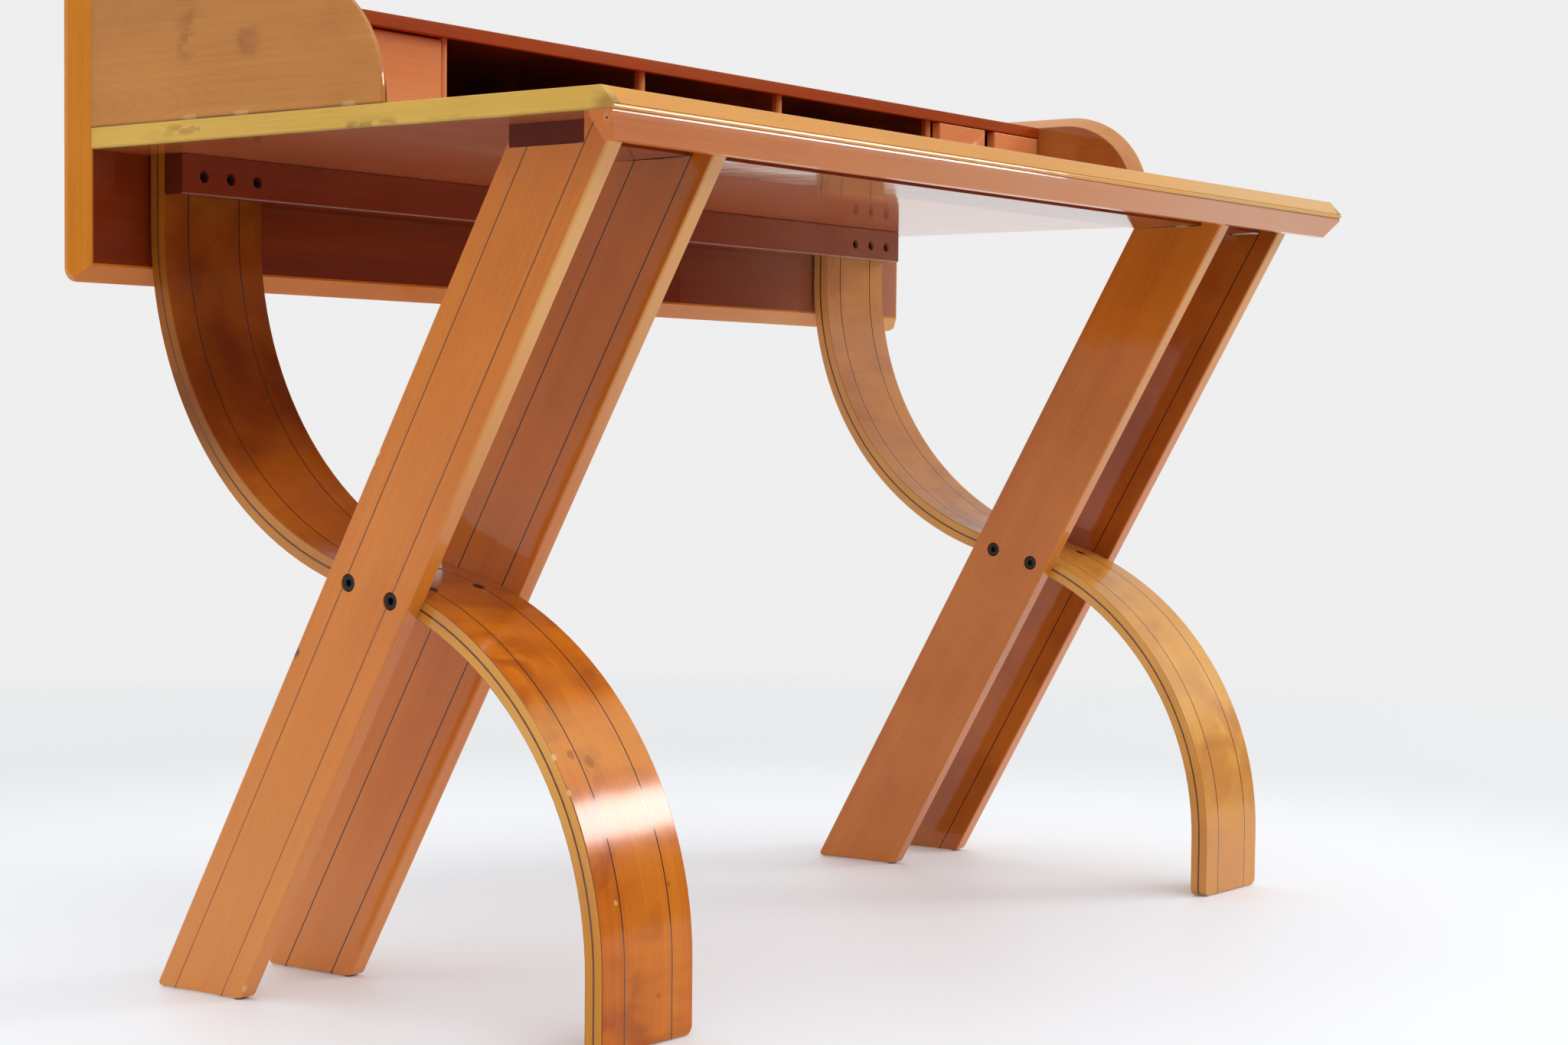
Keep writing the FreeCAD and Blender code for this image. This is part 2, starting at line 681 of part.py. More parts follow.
def plank_inlay(name, face_x, inset, tools):
    """One dark line let into a plank's broad face, from the foot up to the slab."""
    corner = (face_x, f"({NOSE} + {PLANK_FOOT} - {inset} - Sizes.inlay_width / 2)", "Sizes.glide_thick")
    width = "Sizes.inlay_width"
    line = wedge(
        name,
        ("0", "0", width, "0", "Sizes.inlay_depth"),
        (PLANK_HEIGHT, f"-{PLANK_LEAN}", f"({width} - {PLANK_LEAN})", "0", "Sizes.inlay_depth"),
        corner,
        UPRIGHT_TURN,
    )
    return cut(name, line, *tools)


def crosses_at(edge, corner):
    """Whether an edge runs along X through a corner of an outline."""
    away = edge.CenterOfMass - corner
    return runs_along(edge, (1, 0, 0)) and abs(away.y) + abs(away.z) < CLOSE


def softened_feature(body, feature, radius, picks):
    """Rounds the chosen edges of a body's last feature."""
    chosen = [f"Edge{number}" for number, edge in enumerate(feature.Shape.Edges, start=1) if picks(edge)]
    result = body.newObject("PartDesign::Fillet", f"{body.Name}_{radius}")
    result.Base = (feature, chosen)
    result.setExpression("Radius", f"Sizes.{radius}")
    doc.recompute()
    return result


def make_plank(name, side, near, lined_near, tools):
    """A slanting plank with softened edges, cut for the rail, its bolts and its inlaid lines.

    The face away from the middle of the desk has lines, and the near face where it says so.
    """
    start_x = x_start(side, near, "Sizes.plank_thick")
    foot_front = f"({PLANK_FOOT} - Sizes.plank_span)"
    outline = [
        (foot_front, "Sizes.glide_thick"),
        (PLANK_FOOT, "Sizes.glide_thick"),
        ("(Sizes.plank_head + Sizes.plank_span)", UNDER),
        ("Sizes.plank_head", UNDER),
    ]
    body, pad = profile_body(name, outline, start_x, "Sizes.plank_thick")
    slant = FreeCAD.Vector(0, -value(PLANK_LEAN), value(PLANK_HEIGHT)).normalize()
    foot_z = value("Sizes.glide_thick")
    toe = FreeCAD.Vector(0, value(foot_front), foot_z)
    heel = FreeCAD.Vector(0, value(PLANK_FOOT), foot_z)
    step = softened_feature(body, pad, "plank_toe_round", lambda edge: crosses_at(edge, toe))
    step = softened_feature(body, step, "plank_heel_round", lambda edge: crosses_at(edge, heel))
    softened_feature(body, step, "plank_round", lambda edge: runs_along(edge, slant))

    high_face = f"({start_x} + Sizes.plank_thick - Sizes.inlay_depth)"
    far_x, near_x = (high_face, start_x) if side == RIGHT else (start_x, high_face)
    inlays = []
    insets = ("Sizes.plank_inlay_inset", "(Sizes.plank_span - Sizes.plank_inlay_inset)")
    faces = {"far": far_x, "near": near_x} if lined_near else {"far": far_x}
    for word, face_x in faces.items():
        for number, inset in enumerate(insets, start=1):
            inlays.append(plank_inlay(f"{name}_inlay_{word}_{number}", face_x, inset, tools))
    keep(name, cut(name, body, *tools, *inlays))
    return inlays


def make_bent_leg(word, start_x, holes):
    """The laminated leg: two thick plies with a thin dark core, and two lines let into the front ply."""
    half = BENT_HALF_THICK
    core_half = "(Sizes.bent_core / 2)"
    width = "Sizes.bent_width"
    front = bent_strip(f"bent_front_{word}", start_x, width, core_half, half)
    core = bent_strip(f"bent_core_{word}", start_x, width, f"(-{core_half})", core_half)
    rear = bent_strip(f"bent_rear_{word}", start_x, width, f"(-{half})", f"(-{core_half})")
    face = value(half)
    front, core, rear = (rounded(ply, "Sizes.bent_toe_round", at_bent_toe) for ply in (front, core, rear))
    front = rounded(front, "Sizes.bent_round", lambda edge: on_bent_face(edge, face))
    rear = rounded(rear, "Sizes.bent_round", lambda edge: on_bent_face(edge, -face))
    inlays = []
    insets = ("Sizes.bent_inlay_inset", f"({width} - Sizes.bent_inlay_inset)")
    for number, inset in enumerate(insets, start=1):
        line_x = f"({start_x} + {inset} - Sizes.inlay_width / 2)"
        name = f"bent_inlay_{word}_{number}"
        strip = bent_strip(name, line_x, "Sizes.inlay_width", f"({half} - Sizes.inlay_depth)", half)
        inlays.append(cut(name, strip, holes))
    keep(f"bent_leg_{word}_front_ply", cut(f"bent_front_{word}", front, holes, *inlays))
    keep(f"bent_leg_{word}_core", cut(f"bent_core_{word}", core, holes))
    keep(f"bent_leg_{word}_rear_ply", cut(f"bent_rear_{word}", rear, holes))
    return inlays


def make_rails():
    """The plain front rail, which the planks are notched for, and both rails with their edges softened."""
    half = f"({HALF_LENGTH} - Sizes.leg_inset)"
    front = block(
        "front_rail",
        (f"(-{half})", f"({NOSE} + Sizes.front_rail_set)", RAIL_BOTTOM),
        (f"(2 * {half})", "Sizes.front_rail_depth", "Sizes.front_rail_thick"),
    )
    rear = block(
        "rear_rail",
        (f"(-{OUTER_PLANK})", RAIL_FACE, f"({UNDER} - Sizes.rear_rail_height)"),
        (f"(2 * {OUTER_PLANK})", "Sizes.rear_rail_depth", "Sizes.rear_rail_height"),
    )
    lengthwise = lambda edge: runs_along(edge, (1, 0, 0))
    return front, [rounded(rail, "Sizes.rail_round", lengthwise) for rail in (front, rear)]


def nut_rod(name, place_on_leg, x, radius, play):
    """A short rod square to the bent leg, let in from its front and top face."""
    y, z, tilt = place_on_leg
    depth = f"(Sizes.nut_length - {BENT_HALF_THICK})"
    start = (x, f"({y} + ({depth} + {play}) * sin({tilt}))", f"({z} - ({depth} + {play}) * cos({tilt}))")
    solid = doc.addObject("Part::Cylinder", name)
    turned(solid, FreeCAD.Rotation(FreeCAD.Vector(1, 0, 0), 1))
    solid.setExpression("Placement.Rotation.Angle", tilt)
    bind(solid, Radius=radius, Height=f"(Sizes.nut_length + 2 * {play})")
    return place(solid, start)


def make_legs():
    rail_notch, (front_rail, rear_rail) = make_rails()
    play = "Sizes.hole_play"
    bolts, nuts, rail_bolts, screws, rail_cuts = [], [], [], [], []
    for side, word in SIDE_NAMES.items():
        bent_x = x_start(side, BENT_NEAR, "Sizes.bent_width")
        bent_middle = f"({bent_x} + Sizes.bent_width / 2)"
        leg_holes = []
        plank_cuts = {"outer": [rail_notch], "inner": [rail_notch]}
        planks = {"outer": (OUTER_PLANK, side), "inner": (INNER_PLANK, -side)}

        # bolts across the crossing, from the outside of each plank into a nut in the bent leg
        for which, (near, outward) in planks.items():
            plank_x = x_start(side, near, "Sizes.plank_thick")
            outer_face = f"({plank_x} + Sizes.plank_thick)" if outward > 0 else plank_x
            inward = (-outward, 0, 0)
            for number, spot in enumerate(crossing_places(), start=1):
                name = f"cross_{word}_{which}_{number}"
                mouth = (outer_face, spot[0], spot[1])
                seat = moved(mouth, inward, "Sizes.cross_recess_depth")
                bolts.append(socket_screw(f"{name}_bolt", "cross", seat, inward))
                shank_hole = rod(
                    f"{name}_hole", mouth, inward,
                    f"(Sizes.cross_shank_radius + {play})",
                    f"(Sizes.cross_recess_depth + Sizes.cross_shank_length + {play})",
                )
                recess = rod(
                    f"{name}_recess", mouth, inward,
                    "Sizes.cross_recess_radius",
                    "Sizes.cross_recess_depth",
                )
                plank_cuts[which] += [recess, shank_hole]
                nut_x = f"({bent_middle} + {outward} * (Sizes.bent_width / 2 - Sizes.nut_inset))"
                nut_hole = nut_rod(f"{name}_nut_hole", spot, nut_x, f"(Sizes.nut_radius + {play})", play)
                leg_holes += [shank_hole, nut_hole]
                nut = nut_rod(f"{name}_nut_rod", spot, nut_x, "Sizes.nut_radius", "0")
                nuts.append(cut(f"{name}_nut", nut, shank_hole))

        # bolts that hold the rear rail to the top of the bent leg
        for number in (-1, 0, 1):
            name = f"rail_{word}_{number + 2}"
            bolt_x = f"({bent_middle} + {number} * Sizes.rail_pitch)"
            mouth = (bolt_x, RAIL_FACE, f"({UNDER} - Sizes.rail_drop)")
            rearward = (0, 1, 0)
            seat = moved(mouth, rearward, "Sizes.rail_recess_depth")
            rail_bolts.append(socket_screw(f"{name}_bolt", "rail", seat, rearward))
            recess = rod(
                f"{name}_recess", mouth, rearward,
                "Sizes.rail_recess_radius",
                "Sizes.rail_recess_depth",
            )
            shank_hole = rod(
                f"{name}_hole", seat, rearward,
                f"(Sizes.rail_shank_radius + {play})",
                f"(Sizes.rail_shank_length + {play})",
            )
            rail_cuts += [recess, shank_hole]
            leg_holes.append(shank_hole)

        # screws that hold the front rail down on the planks
        for which, (near, outward) in planks.items():
            name = f"screw_{word}_{which}"
            middle_x = f"({x_start(side, near, 'Sizes.plank_thick')} + Sizes.plank_thick / 2)"
            middle_y = f"({NOSE} + Sizes.front_rail_set + Sizes.front_rail_depth / 2)"
            top = (middle_x, middle_y, UNDER)
            down = (0, 0, -1)
            head = doc.addObject("Part::Cone", f"{name}_head")
            turned(head, FreeCAD.Rotation(FreeCAD.Vector(0, 0, 1), FreeCAD.Vector(*down)))
            bind(head, Radius1="Sizes.screw_head_radius", Radius2="Sizes.screw_shank_radius")
            bind(head, Height="Sizes.screw_head_height")
            place(head, top)
            shank = rod(f"{name}_shank", top, down, "Sizes.screw_shank_radius", "Sizes.screw_length")
            screw = fused(name, [head, shank])
            screws.append(screw)
            plank_cuts[which].append(screw)

        holes = fused(f"leg_holes_{word}", leg_holes)
        inlays = make_plank(f"plank_outer_{word}", side, OUTER_PLANK, True, plank_cuts["outer"])
        inlays += make_plank(f"plank_inner_{word}", side, INNER_PLANK, False, plank_cuts["inner"])
        inlays += make_bent_leg(word, bent_x, holes)
        keep(f"leg_inlays_{word}", group(f"leg_inlays_{word}", inlays))

    keep("front_rail", cut("front_rail", front_rail, *screws))
    keep("rear_rail", cut("rear_rail", rear_rail, *rail_cuts))
    keep("crossing_bolts", group("crossing_bolts", bolts))
    keep("barrel_nuts", group("barrel_nuts", nuts))
    keep("rear_rail_bolts", group("rear_rail_bolts", rail_bolts))
    keep("front_rail_screws", group("front_rail_screws", screws))


# Glides: a thin pad under each foot
def make_glides():
    plank_toe = f"({NOSE} + {PLANK_FOOT} - Sizes.plank_span)"
    bent_toe = f"({BENT_FOOT} - {BENT_HALF_THICK})"
    plank = ("Sizes.plank_thick", "Sizes.glide_edge", plank_toe, "Sizes.plank_span", "Sizes.glide_inset")
    bent = ("Sizes.bent_width", "Sizes.glide_inset", bent_toe, f"(2 * {BENT_HALF_THICK})", "Sizes.glide_edge")
    feet = {"outer": (OUTER_PLANK, plank), "inner": (INNER_PLANK, plank), "bent": (BENT_NEAR, bent)}
    glides = []
    for side, word in SIDE_NAMES.items():
        for which, (near, (width, inset_x, toe, depth, inset_y)) in feet.items():
            corner = (f"({x_start(side, near, width)} + {inset_x})", f"({toe} + {inset_y})", "0")
            size = (f"({width} - 2 * {inset_x})", f"({depth} - 2 * {inset_y})", "Sizes.glide_thick")
            glides.append(block(f"glide_{word}_{which}", corner, size))
    keep("foot_glides", group("foot_glides", glides))


make_slab()
make_front_edge()
make_back_panel()
make_gallery_sides()
make_gallery_inside()
make_drawers()
make_legs()
make_glides()
doc.recompute()

faults = [item.Label for item in doc.Objects if {"Invalid", "Error"} & set(item.State)]
faults += [label for label, item in parts.items() if item.Shape.isNull() or not item.Shape.isValid()]
if faults:
    raise RuntimeError("pieces that did not build: " + ", ".join(faults))

os.makedirs("parts", exist_ok=True)
for label, item in parts.items():
    item.Shape.exportStep(f"parts/{label}.step")
print(len(parts), "pieces")
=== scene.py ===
"""A writing desk on crossed legs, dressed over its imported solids.

Lacquered boards with fine grain, bent plies with dark cores, dark line inlays and black bolts.
Everything is in metres, in the desk's own frame: X along the desk, Y from front to back, Z up.
"""

import math

import bmesh
import bpy
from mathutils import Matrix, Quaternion, Vector


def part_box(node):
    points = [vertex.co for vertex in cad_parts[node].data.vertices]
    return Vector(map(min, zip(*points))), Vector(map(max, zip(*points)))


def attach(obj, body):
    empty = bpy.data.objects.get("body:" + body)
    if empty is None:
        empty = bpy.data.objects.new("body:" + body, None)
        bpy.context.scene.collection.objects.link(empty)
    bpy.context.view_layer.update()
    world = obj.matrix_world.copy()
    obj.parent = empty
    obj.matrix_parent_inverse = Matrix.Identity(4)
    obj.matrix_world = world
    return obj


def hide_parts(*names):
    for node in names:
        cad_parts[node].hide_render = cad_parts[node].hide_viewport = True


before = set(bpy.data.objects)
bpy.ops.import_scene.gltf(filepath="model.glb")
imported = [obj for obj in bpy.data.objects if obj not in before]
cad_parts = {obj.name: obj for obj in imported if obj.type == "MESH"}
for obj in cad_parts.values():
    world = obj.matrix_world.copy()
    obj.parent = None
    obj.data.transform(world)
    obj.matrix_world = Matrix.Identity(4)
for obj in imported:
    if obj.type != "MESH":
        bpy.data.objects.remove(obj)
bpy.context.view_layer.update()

# Camera, at the photograph's viewing angle
CAMERA_PLACE = Vector((-2.28569, -1.61483, 0.48429))
CAMERA_HEADING = math.radians(37.331)
CAMERA_PITCH = math.radians(-2.809)
CAMERA_ROLL = math.radians(0.484)
CAMERA_LENS = 65.98
CAMERA_SENSOR = 36.0
CAMERA_SHIFT = (0.0703, 0.0330)
CAMERA_REACH = 50.0

# Studio: an even wall, light from the back, the sides and above, and a dark room behind the camera
WALL_LIGHT = 0.86
SIDE_LIGHT = 0.52
TOP_LIGHT = 0.80
FRONT_LIGHT = 0.6
LOW_LIGHT = 0.9
DARK_LIGHT = 0.06
DARK_FROM = (-0.05, -0.45)
DARK_BELOW = (0.42, 0.16)
FRONT_ABOVE = (0.3, 0.6)
HORIZON = (0.04, -0.04)
FLOOR_RADIUS = 3.4
FLOOR_SIDES = 96
FLOOR_ROUGHNESS = 0.5
FLOOR_CLOUD = (3, 3, 3)
FLOOR_FADE = (2.5, 3.2)
FLOOR_NEAR = 0.6
FLOOR_FAR = 1.7
SOFTBOX_PLACE = Vector((4.08, -3.30, 2.23))
SOFTBOX_AIM = Vector((-0.5, -0.2, 0.25))
SOFTBOX_SIZE = (1.7, 0.8)
SOFTBOX_RADIANCE = 13.0
DIM_SIDE = (0.45, 0.7)
DIM_ABOVE = (0.25, 0.5)
DIM_SHARE = 0.55
WHITE = (1.0, 1.0, 1.0, 1.0)

# The legs' lines, as the solids have them
PLANK_LEAN = math.radians(29.27)
FRONT_FOOT = Vector((0.0, 0.1425, 0.0012))
PLANK_FRONT = FRONT_FOOT.y * math.cos(PLANK_LEAN) + FRONT_FOOT.z * math.sin(PLANK_LEAN)
EDGE_SOFT = 0.0035
CROSSING = Vector((0.0, 0.0175, 0.360))
BENT_SLOPE = math.radians(11.296)
BENT_RADIUS = 0.30593
PLY_HALF = 0.009
VENEER = (PLY_HALF - 0.0010, PLY_HALF - 0.0006)
LEG_SIDE = (0.0575, 0.0578)
CORE_LINE = (0.0002, 0.0005)
LEG_WORN_ABOUT = 0.29
LEG_WORN_FROM = (0.12, 0.22)
LEG_WORN_SHARE = 0.65

# Places that marks lie on: outer faces, and half the open bays' length without and with the dividers
PLANK_FACE = -0.584
GALLERY_FACE = -0.630
BAY_HALF = 0.395
DIVIDED_HALF = 0.405
SEAM_TOP = 0.7425

# Values that several marks share
PIN_HOLE = 0.0034
UNLIT_SHARE = 0.85
END_DULL = 0.7

# Turns that lay a board's grain along the pattern's Z axis
ALONG_X = (0.0, math.radians(-90), 0.0)
ALONG_Y = (math.radians(90), 0.0, 0.0)
ALONG_Z = (0.0, 0.0, 0.0)
ALONG_PLANK = (-PLANK_LEAN, 0.0, 0.0)

# Patterns: how fine each is along X, Y and Z, where it starts and is full, its share and its tone
ZONE_SCALE = (22, 22, 2.0)
ZONE_STEP = (0.3, 0.7)
ZONE_SHARE = 0.65
STREAK_SCALE = (260, 260, 5)
STREAK_STEP = (0.3, 0.7)
STREAK_SHARE = 0.35
STREAK_HEIGHT = 0.4
PORE_SCALE = (1100, 1100, 110)
PORE_STEP = (0.58, 0.76)
PORE_SHARE = 0.22
PORE_TONE = 0.5
BROAD_SCALE = (7, 7, 11)
BROAD_STEP = (0.46, 0.62)
BROAD_SHARE = 0.52
WAVY_SCALE = (10, 10, 38)
WAVY_STEP = (0.45, 0.75)
WAVY_SHARE = 0.28
VENEER_TONE = 0.8
HAZE_SCALE = (9, 9, 9)
HAZE_STEP = (0.35, 0.7)
HAZE_SHARE = 0.3
BOARD_HAZE_TONE = 1.12
LEG_HAZE_TONE = 1.1
PLAIN_HAZE_TONE = 1.6
RIPPLE_SCALE = (16, 16, 16)
RAGGED_SCALE = (400, 400, 400)
RAGGED_SHARE = 0.7
RIM_STEP = (1.5, 0.9)
SWAY_SCALE = (14, 14, 14)
SWAY_SIZE = 0.07
ARCH_BOW = -150.0
ARCH_TURNS = 250.0
ARCH_STEP = (-0.2, 1.0)
DOT_SCALE = 42.0
DOT_STEP = (0.05, 0.02)
DOT_PICKED = 0.92
DOT_SHARE = 0.5

# Lacquer
GROUND_ROUGHNESS = 0.36
GROUND_SPREAD = 0.12
GROUND_SPECULAR = 0.05
COAT_ROUGHNESS = 0.07
LEG_COAT_ROUGHNESS = 0.15
COAT_IOR = 1.5
GRAIN_RELIEF = {"Distance": 0.0001, "Strength": 0.4}
RIPPLE_RELIEF = {"Distance": 0.0006, "Strength": 0.5}

# Worn edges
SAME_POINT = 1e-6
TOUCHING = 0.0002
FLAT_ANGLE = math.radians(0.5)
CORNER_ANGLE = math.radians(35)
PARALLEL = 0.999
ROUND_STEPS = 3
ROUND = 0.001
NOSING_ROUND = 0.0008
GALLERY_ROUND = 0.0009
LIP_EDGE_ROUND = 0.0005
LIP_FLAT_ROUND = 0.0015
NOSING_BEVEL = 0.02
LIP_REACH = 0.01
LIP_FLAT_ZONE = (0.0035, 0.005)
WORN_TILT = math.radians(9)
BEAD_FLAT = 0.0019
LIP_FLAT = 0.0014
RAIL_TILT = math.radians(0.7)


def screen(red, green, blue):
    """A colour picked on a screen, 0 to 255, as the linear colour that a shader takes."""
    shares = [level / 255 for level in (red, green, blue)]
    linear = [s / 12.92 if s <= 0.04045 else ((s + 0.055) / 1.055) ** 2.4 for s in shares]
    return (*linear, 1.0)


def toned(colour, share):
    """The same colour, darker or lighter by a share."""
    return (*[level * share for level in colour[:3]], 1.0)


# Tones: a wood has two, its lighter early wood and its deeper late wood
HONEY = (screen(219, 128, 38), screen(205, 111, 28))
GALLERY = (screen(208, 138, 60), screen(190, 118, 46))
YELLOW = (screen(230, 186, 82), screen(216, 168, 64))
BROWN = (screen(138, 52, 16), screen(120, 42, 11))
UNDERSIDE = (screen(206, 112, 62), screen(188, 96, 48))
SHELF = (screen(174, 75, 14), screen(156, 61, 9))
RED = (screen(216, 124, 62), screen(202, 106, 46))
LIP = (screen(216, 122, 46), screen(202, 104, 32))
STILE = (screen(230, 144, 48), screen(214, 126, 36))
DRAWER = (screen(240, 160, 100), screen(230, 140, 80))
ORANGE = (screen(222, 128, 24), screen(198, 96, 12))
FLAME = screen(140, 56, 8)
# Painted shade: the flame colour darkened where the left leg lies in shade near the crossing
PAINTED_SHADE_FLAME = screen(104, 34, 4)
PALE_ORANGE = (screen(232, 170, 80), screen(218, 150, 60))
PALE_FLAME = screen(190, 118, 52)
EDGE_PLY = (screen(226, 164, 68), screen(212, 146, 52))
NOSING = (screen(232, 160, 56), screen(222, 146, 44))
END_GRAIN = screen(64, 20, 10)
DRAWER_BOX = (screen(210, 170, 116), screen(190, 146, 92))
INLAY = (screen(62, 34, 24), screen(40, 22, 18))
CORE_MIDDLE = screen(140, 70, 30)
# Stains, and the same colour as painted shade on the end lip's lower edge and front corner
STAIN_AND_SHADE = screen(140, 92, 34)
# Painted shade along the gallery sides' joint with the slab
JOINT_SHADE = screen(86, 38, 14)
CHIP = screen(232, 206, 150)
KNOT = screen(128, 56, 20)
HOLE = screen(20, 12, 10)
NICK = screen(46, 42, 56)
# Painted light and shade: the next colours stand for shade, light falling on the wood, a dark unlit inside
# and a pink reflection
SHADE = screen(112, 40, 10)
PAINTED_LIGHT_GOLD = screen(238, 176, 88)
PAINTED_LIGHT_PALE = screen(232, 160, 84)
UNLIT = screen(48, 28, 24)
LIP_PAINTED_LIGHT = screen(216, 149, 104)
NOSING_PAINTED_LIGHT = screen(232, 178, 100)
PAINTED_REFLECTION_PINK = screen(205, 150, 125)
PAINTED_LIGHT_BROWN = screen(212, 150, 118)
FADED_INLAY = screen(126, 72, 30)
BLACK_STEEL = screen(30, 30, 32)
ZINC_STEEL = screen(190, 190, 186)
PALE_PAD = screen(214, 208, 196)
FLOOR_TONES = (screen(240, 246, 252), screen(244, 249, 254))
FLOOR_DISTANCE = screen(216, 218, 220)


# Shader helpers

def wire(tree, socket, value):
    """Links a socket to another node's output, or sets the socket's own value."""
    if isinstance(value, bpy.types.NodeSocket):
        tree.links.new(value, socket)
    else:
        socket.default_value = value


def add_node(tree, kind, inputs=None, **settings):
    """A new node, with its inputs wired and its settings made."""
    node = tree.nodes.new(kind)
    for name, value in settings.items():
        setattr(node, name, value)
    for name, value in (inputs or {}).items():
        wire(tree, node.inputs[name], value)
    return node


def maths(tree, operation, *values):
    """One sum on numbers or outputs."""
    node = add_node(tree, "ShaderNodeMath", operation=operation)
    for socket, value in zip(node.inputs, values):
        wire(tree, socket, value)
    return node.outputs[0]


def fade(tree, value, low, high):
    """A soft step from 0 at low to 1 at high, or the other way where low is the larger."""
    ends = {"Value": value, "From Min": low, "From Max": high}
    return add_node(tree, "ShaderNodeMapRange", ends, interpolation_type="SMOOTHSTEP").outputs[0]


def blend(tree, share, under, over):
    """One colour laid over another by a share."""
    node = add_node(tree, "ShaderNodeMix", data_type="RGBA")
    for socket, value in zip((node.inputs[0], node.inputs[6], node.inputs[7]), (share, under, over)):
        wire(tree, socket, value)
    return node.outputs[2]


def stretched_noise(tree, vector, scale, detail=2.0, wander=0.0):
    """Noise with its own scale along each axis."""
    mapped = add_node(tree, "ShaderNodeMapping", {"Vector": vector, "Scale": scale}).outputs[0]
    inputs = {"Vector": mapped, "Scale": 1.0, "Detail": detail, "Distortion": wander}
    return add_node(tree, "ShaderNodeTexNoise", inputs).outputs["Fac"]


def axes_of(tree, vector):
    """The three parts of a vector, as outputs."""
    return add_node(tree, "ShaderNodeSeparateXYZ", {"Vector": vector}).outputs


def new_group(name, inputs, outputs):
    """An empty shader node group: its tree, what comes in and what goes out."""
    tree = bpy.data.node_groups.new(name, "ShaderNodeTree")
    for socket_name, kind in inputs.items():
        tree.interface.new_socket(socket_name, in_out="INPUT", socket_type=kind)
    for socket_name, kind in outputs.items():
        tree.interface.new_socket(socket_name, in_out="OUTPUT", socket_type=kind)
    entry = tree.nodes.new("NodeGroupInput")
    leave = tree.nodes.new("NodeGroupOutput")
    return tree, entry.outputs, leave.inputs


def use_group(tree, group, inputs):
    """The outputs of a group's node, with its inputs wired."""
    node = add_node(tree, "ShaderNodeGroup", node_tree=group)
    for name, value in inputs.items():
        wire(tree, node.inputs[name], value)
    return node.outputs


# Shared effects

def make_wood_grain():
    """Fine straight grain along Z: growth zones, streaks and short dark pores."""
    tree, given, result = new_group(
        "wood_grain",
        {"Grain Space": "NodeSocketVector"},
        {"Growth": "NodeSocketFloat", "Pores": "NodeSocketFloat", "Height": "NodeSocketFloat"},
    )
    space = given["Grain Space"]
    zones = fade(tree, stretched_noise(tree, space, ZONE_SCALE, detail=3.0, wander=0.4), *ZONE_STEP)
    streaks = fade(tree, stretched_noise(tree, space, STREAK_SCALE), *STREAK_STEP)
    growth = maths(tree, "MULTIPLY_ADD", zones, ZONE_SHARE, maths(tree, "MULTIPLY", streaks, STREAK_SHARE))
    pores = fade(tree, stretched_noise(tree, space, PORE_SCALE, detail=1.0), *PORE_STEP)
    pits = maths(tree, "MULTIPLY", pores, -1.0)
    wire(tree, result["Growth"], growth)
    wire(tree, result["Pores"], pores)
    wire(tree, result["Height"], maths(tree, "MULTIPLY_ADD", streaks, STREAK_HEIGHT, pits))
    return tree


def make_bent_run():
    """Follows the bent leg: how far along its middle line a point lies, and how far off it."""
    tree, given, result = new_group(
        "bent_run",
        {"Point": "NodeSocketVector"},
        {"Grain Space": "NodeSocketVector", "Depth": "NodeSocketFloat"},
    )
    place = axes_of(tree, given["Point"])
    back = maths(tree, "SUBTRACT", place["Y"], CROSSING.y)
    up = maths(tree, "SUBTRACT", place["Z"], CROSSING.z)
    # The lower half is the upper half turned about the crossing
    rise = maths(tree, "MULTIPLY", up, math.sin(BENT_SLOPE))
    ahead = maths(tree, "MULTIPLY_ADD", back, math.cos(BENT_SLOPE), rise)
    half = maths(tree, "MULTIPLY_ADD", maths(tree, "GREATER_THAN", ahead, 0.0), 2.0, -1.0)
    arm_y = maths(tree, "MULTIPLY_ADD", back, half, BENT_RADIUS * math.sin(BENT_SLOPE))
    arm_z = maths(tree, "MULTIPLY_ADD", up, half, -BENT_RADIUS * math.cos(BENT_SLOPE))
    low_z = maths(tree, "MINIMUM", arm_z, 0.0)
    squares = maths(tree, "MULTIPLY_ADD", arm_y, arm_y, maths(tree, "MULTIPLY", low_z, low_z))
    reach = maths(tree, "SQRT", squares)
    angle = maths(tree, "SUBTRACT", maths(tree, "ARCTAN2", low_z, arm_y), BENT_SLOPE - math.pi / 2)
    run = maths(tree, "MULTIPLY_ADD", angle, BENT_RADIUS, maths(tree, "MAXIMUM", arm_z, 0.0))
    along = maths(tree, "MULTIPLY", run, half)
    depth = maths(tree, "MULTIPLY", maths(tree, "SUBTRACT", BENT_RADIUS, reach), half)
    space = add_node(tree, "ShaderNodeCombineXYZ", {"X": place["X"], "Y": depth, "Z": along})
    wire(tree, result["Grain Space"], space.outputs[0])
    wire(tree, result["Depth"], depth)
    return tree


def make_spot():
    """One small mark on a surface: 1 at its middle, with a ragged rim."""
    tree, given, result = new_group(
        "spot",
        {"Point": "NodeSocketVector", "Centre": "NodeSocketVector", "Radius": "NodeSocketFloat"},
        {"Mask": "NodeSocketFloat"},
    )
    apart = add_node(tree, "ShaderNodeVectorMath", operation="DISTANCE")
    wire(tree, apart.inputs[0], given["Point"])
    wire(tree, apart.inputs[1], given["Centre"])
    ragged = stretched_noise(tree, given["Point"], RAGGED_SCALE, detail=1.0)
    share = maths(tree, "DIVIDE", apart.outputs["Value"], given["Radius"])
    rim = maths(tree, "MULTIPLY_ADD", ragged, RAGGED_SHARE, share)
    wire(tree, result["Mask"], fade(tree, rim, *RIM_STEP))
    return tree


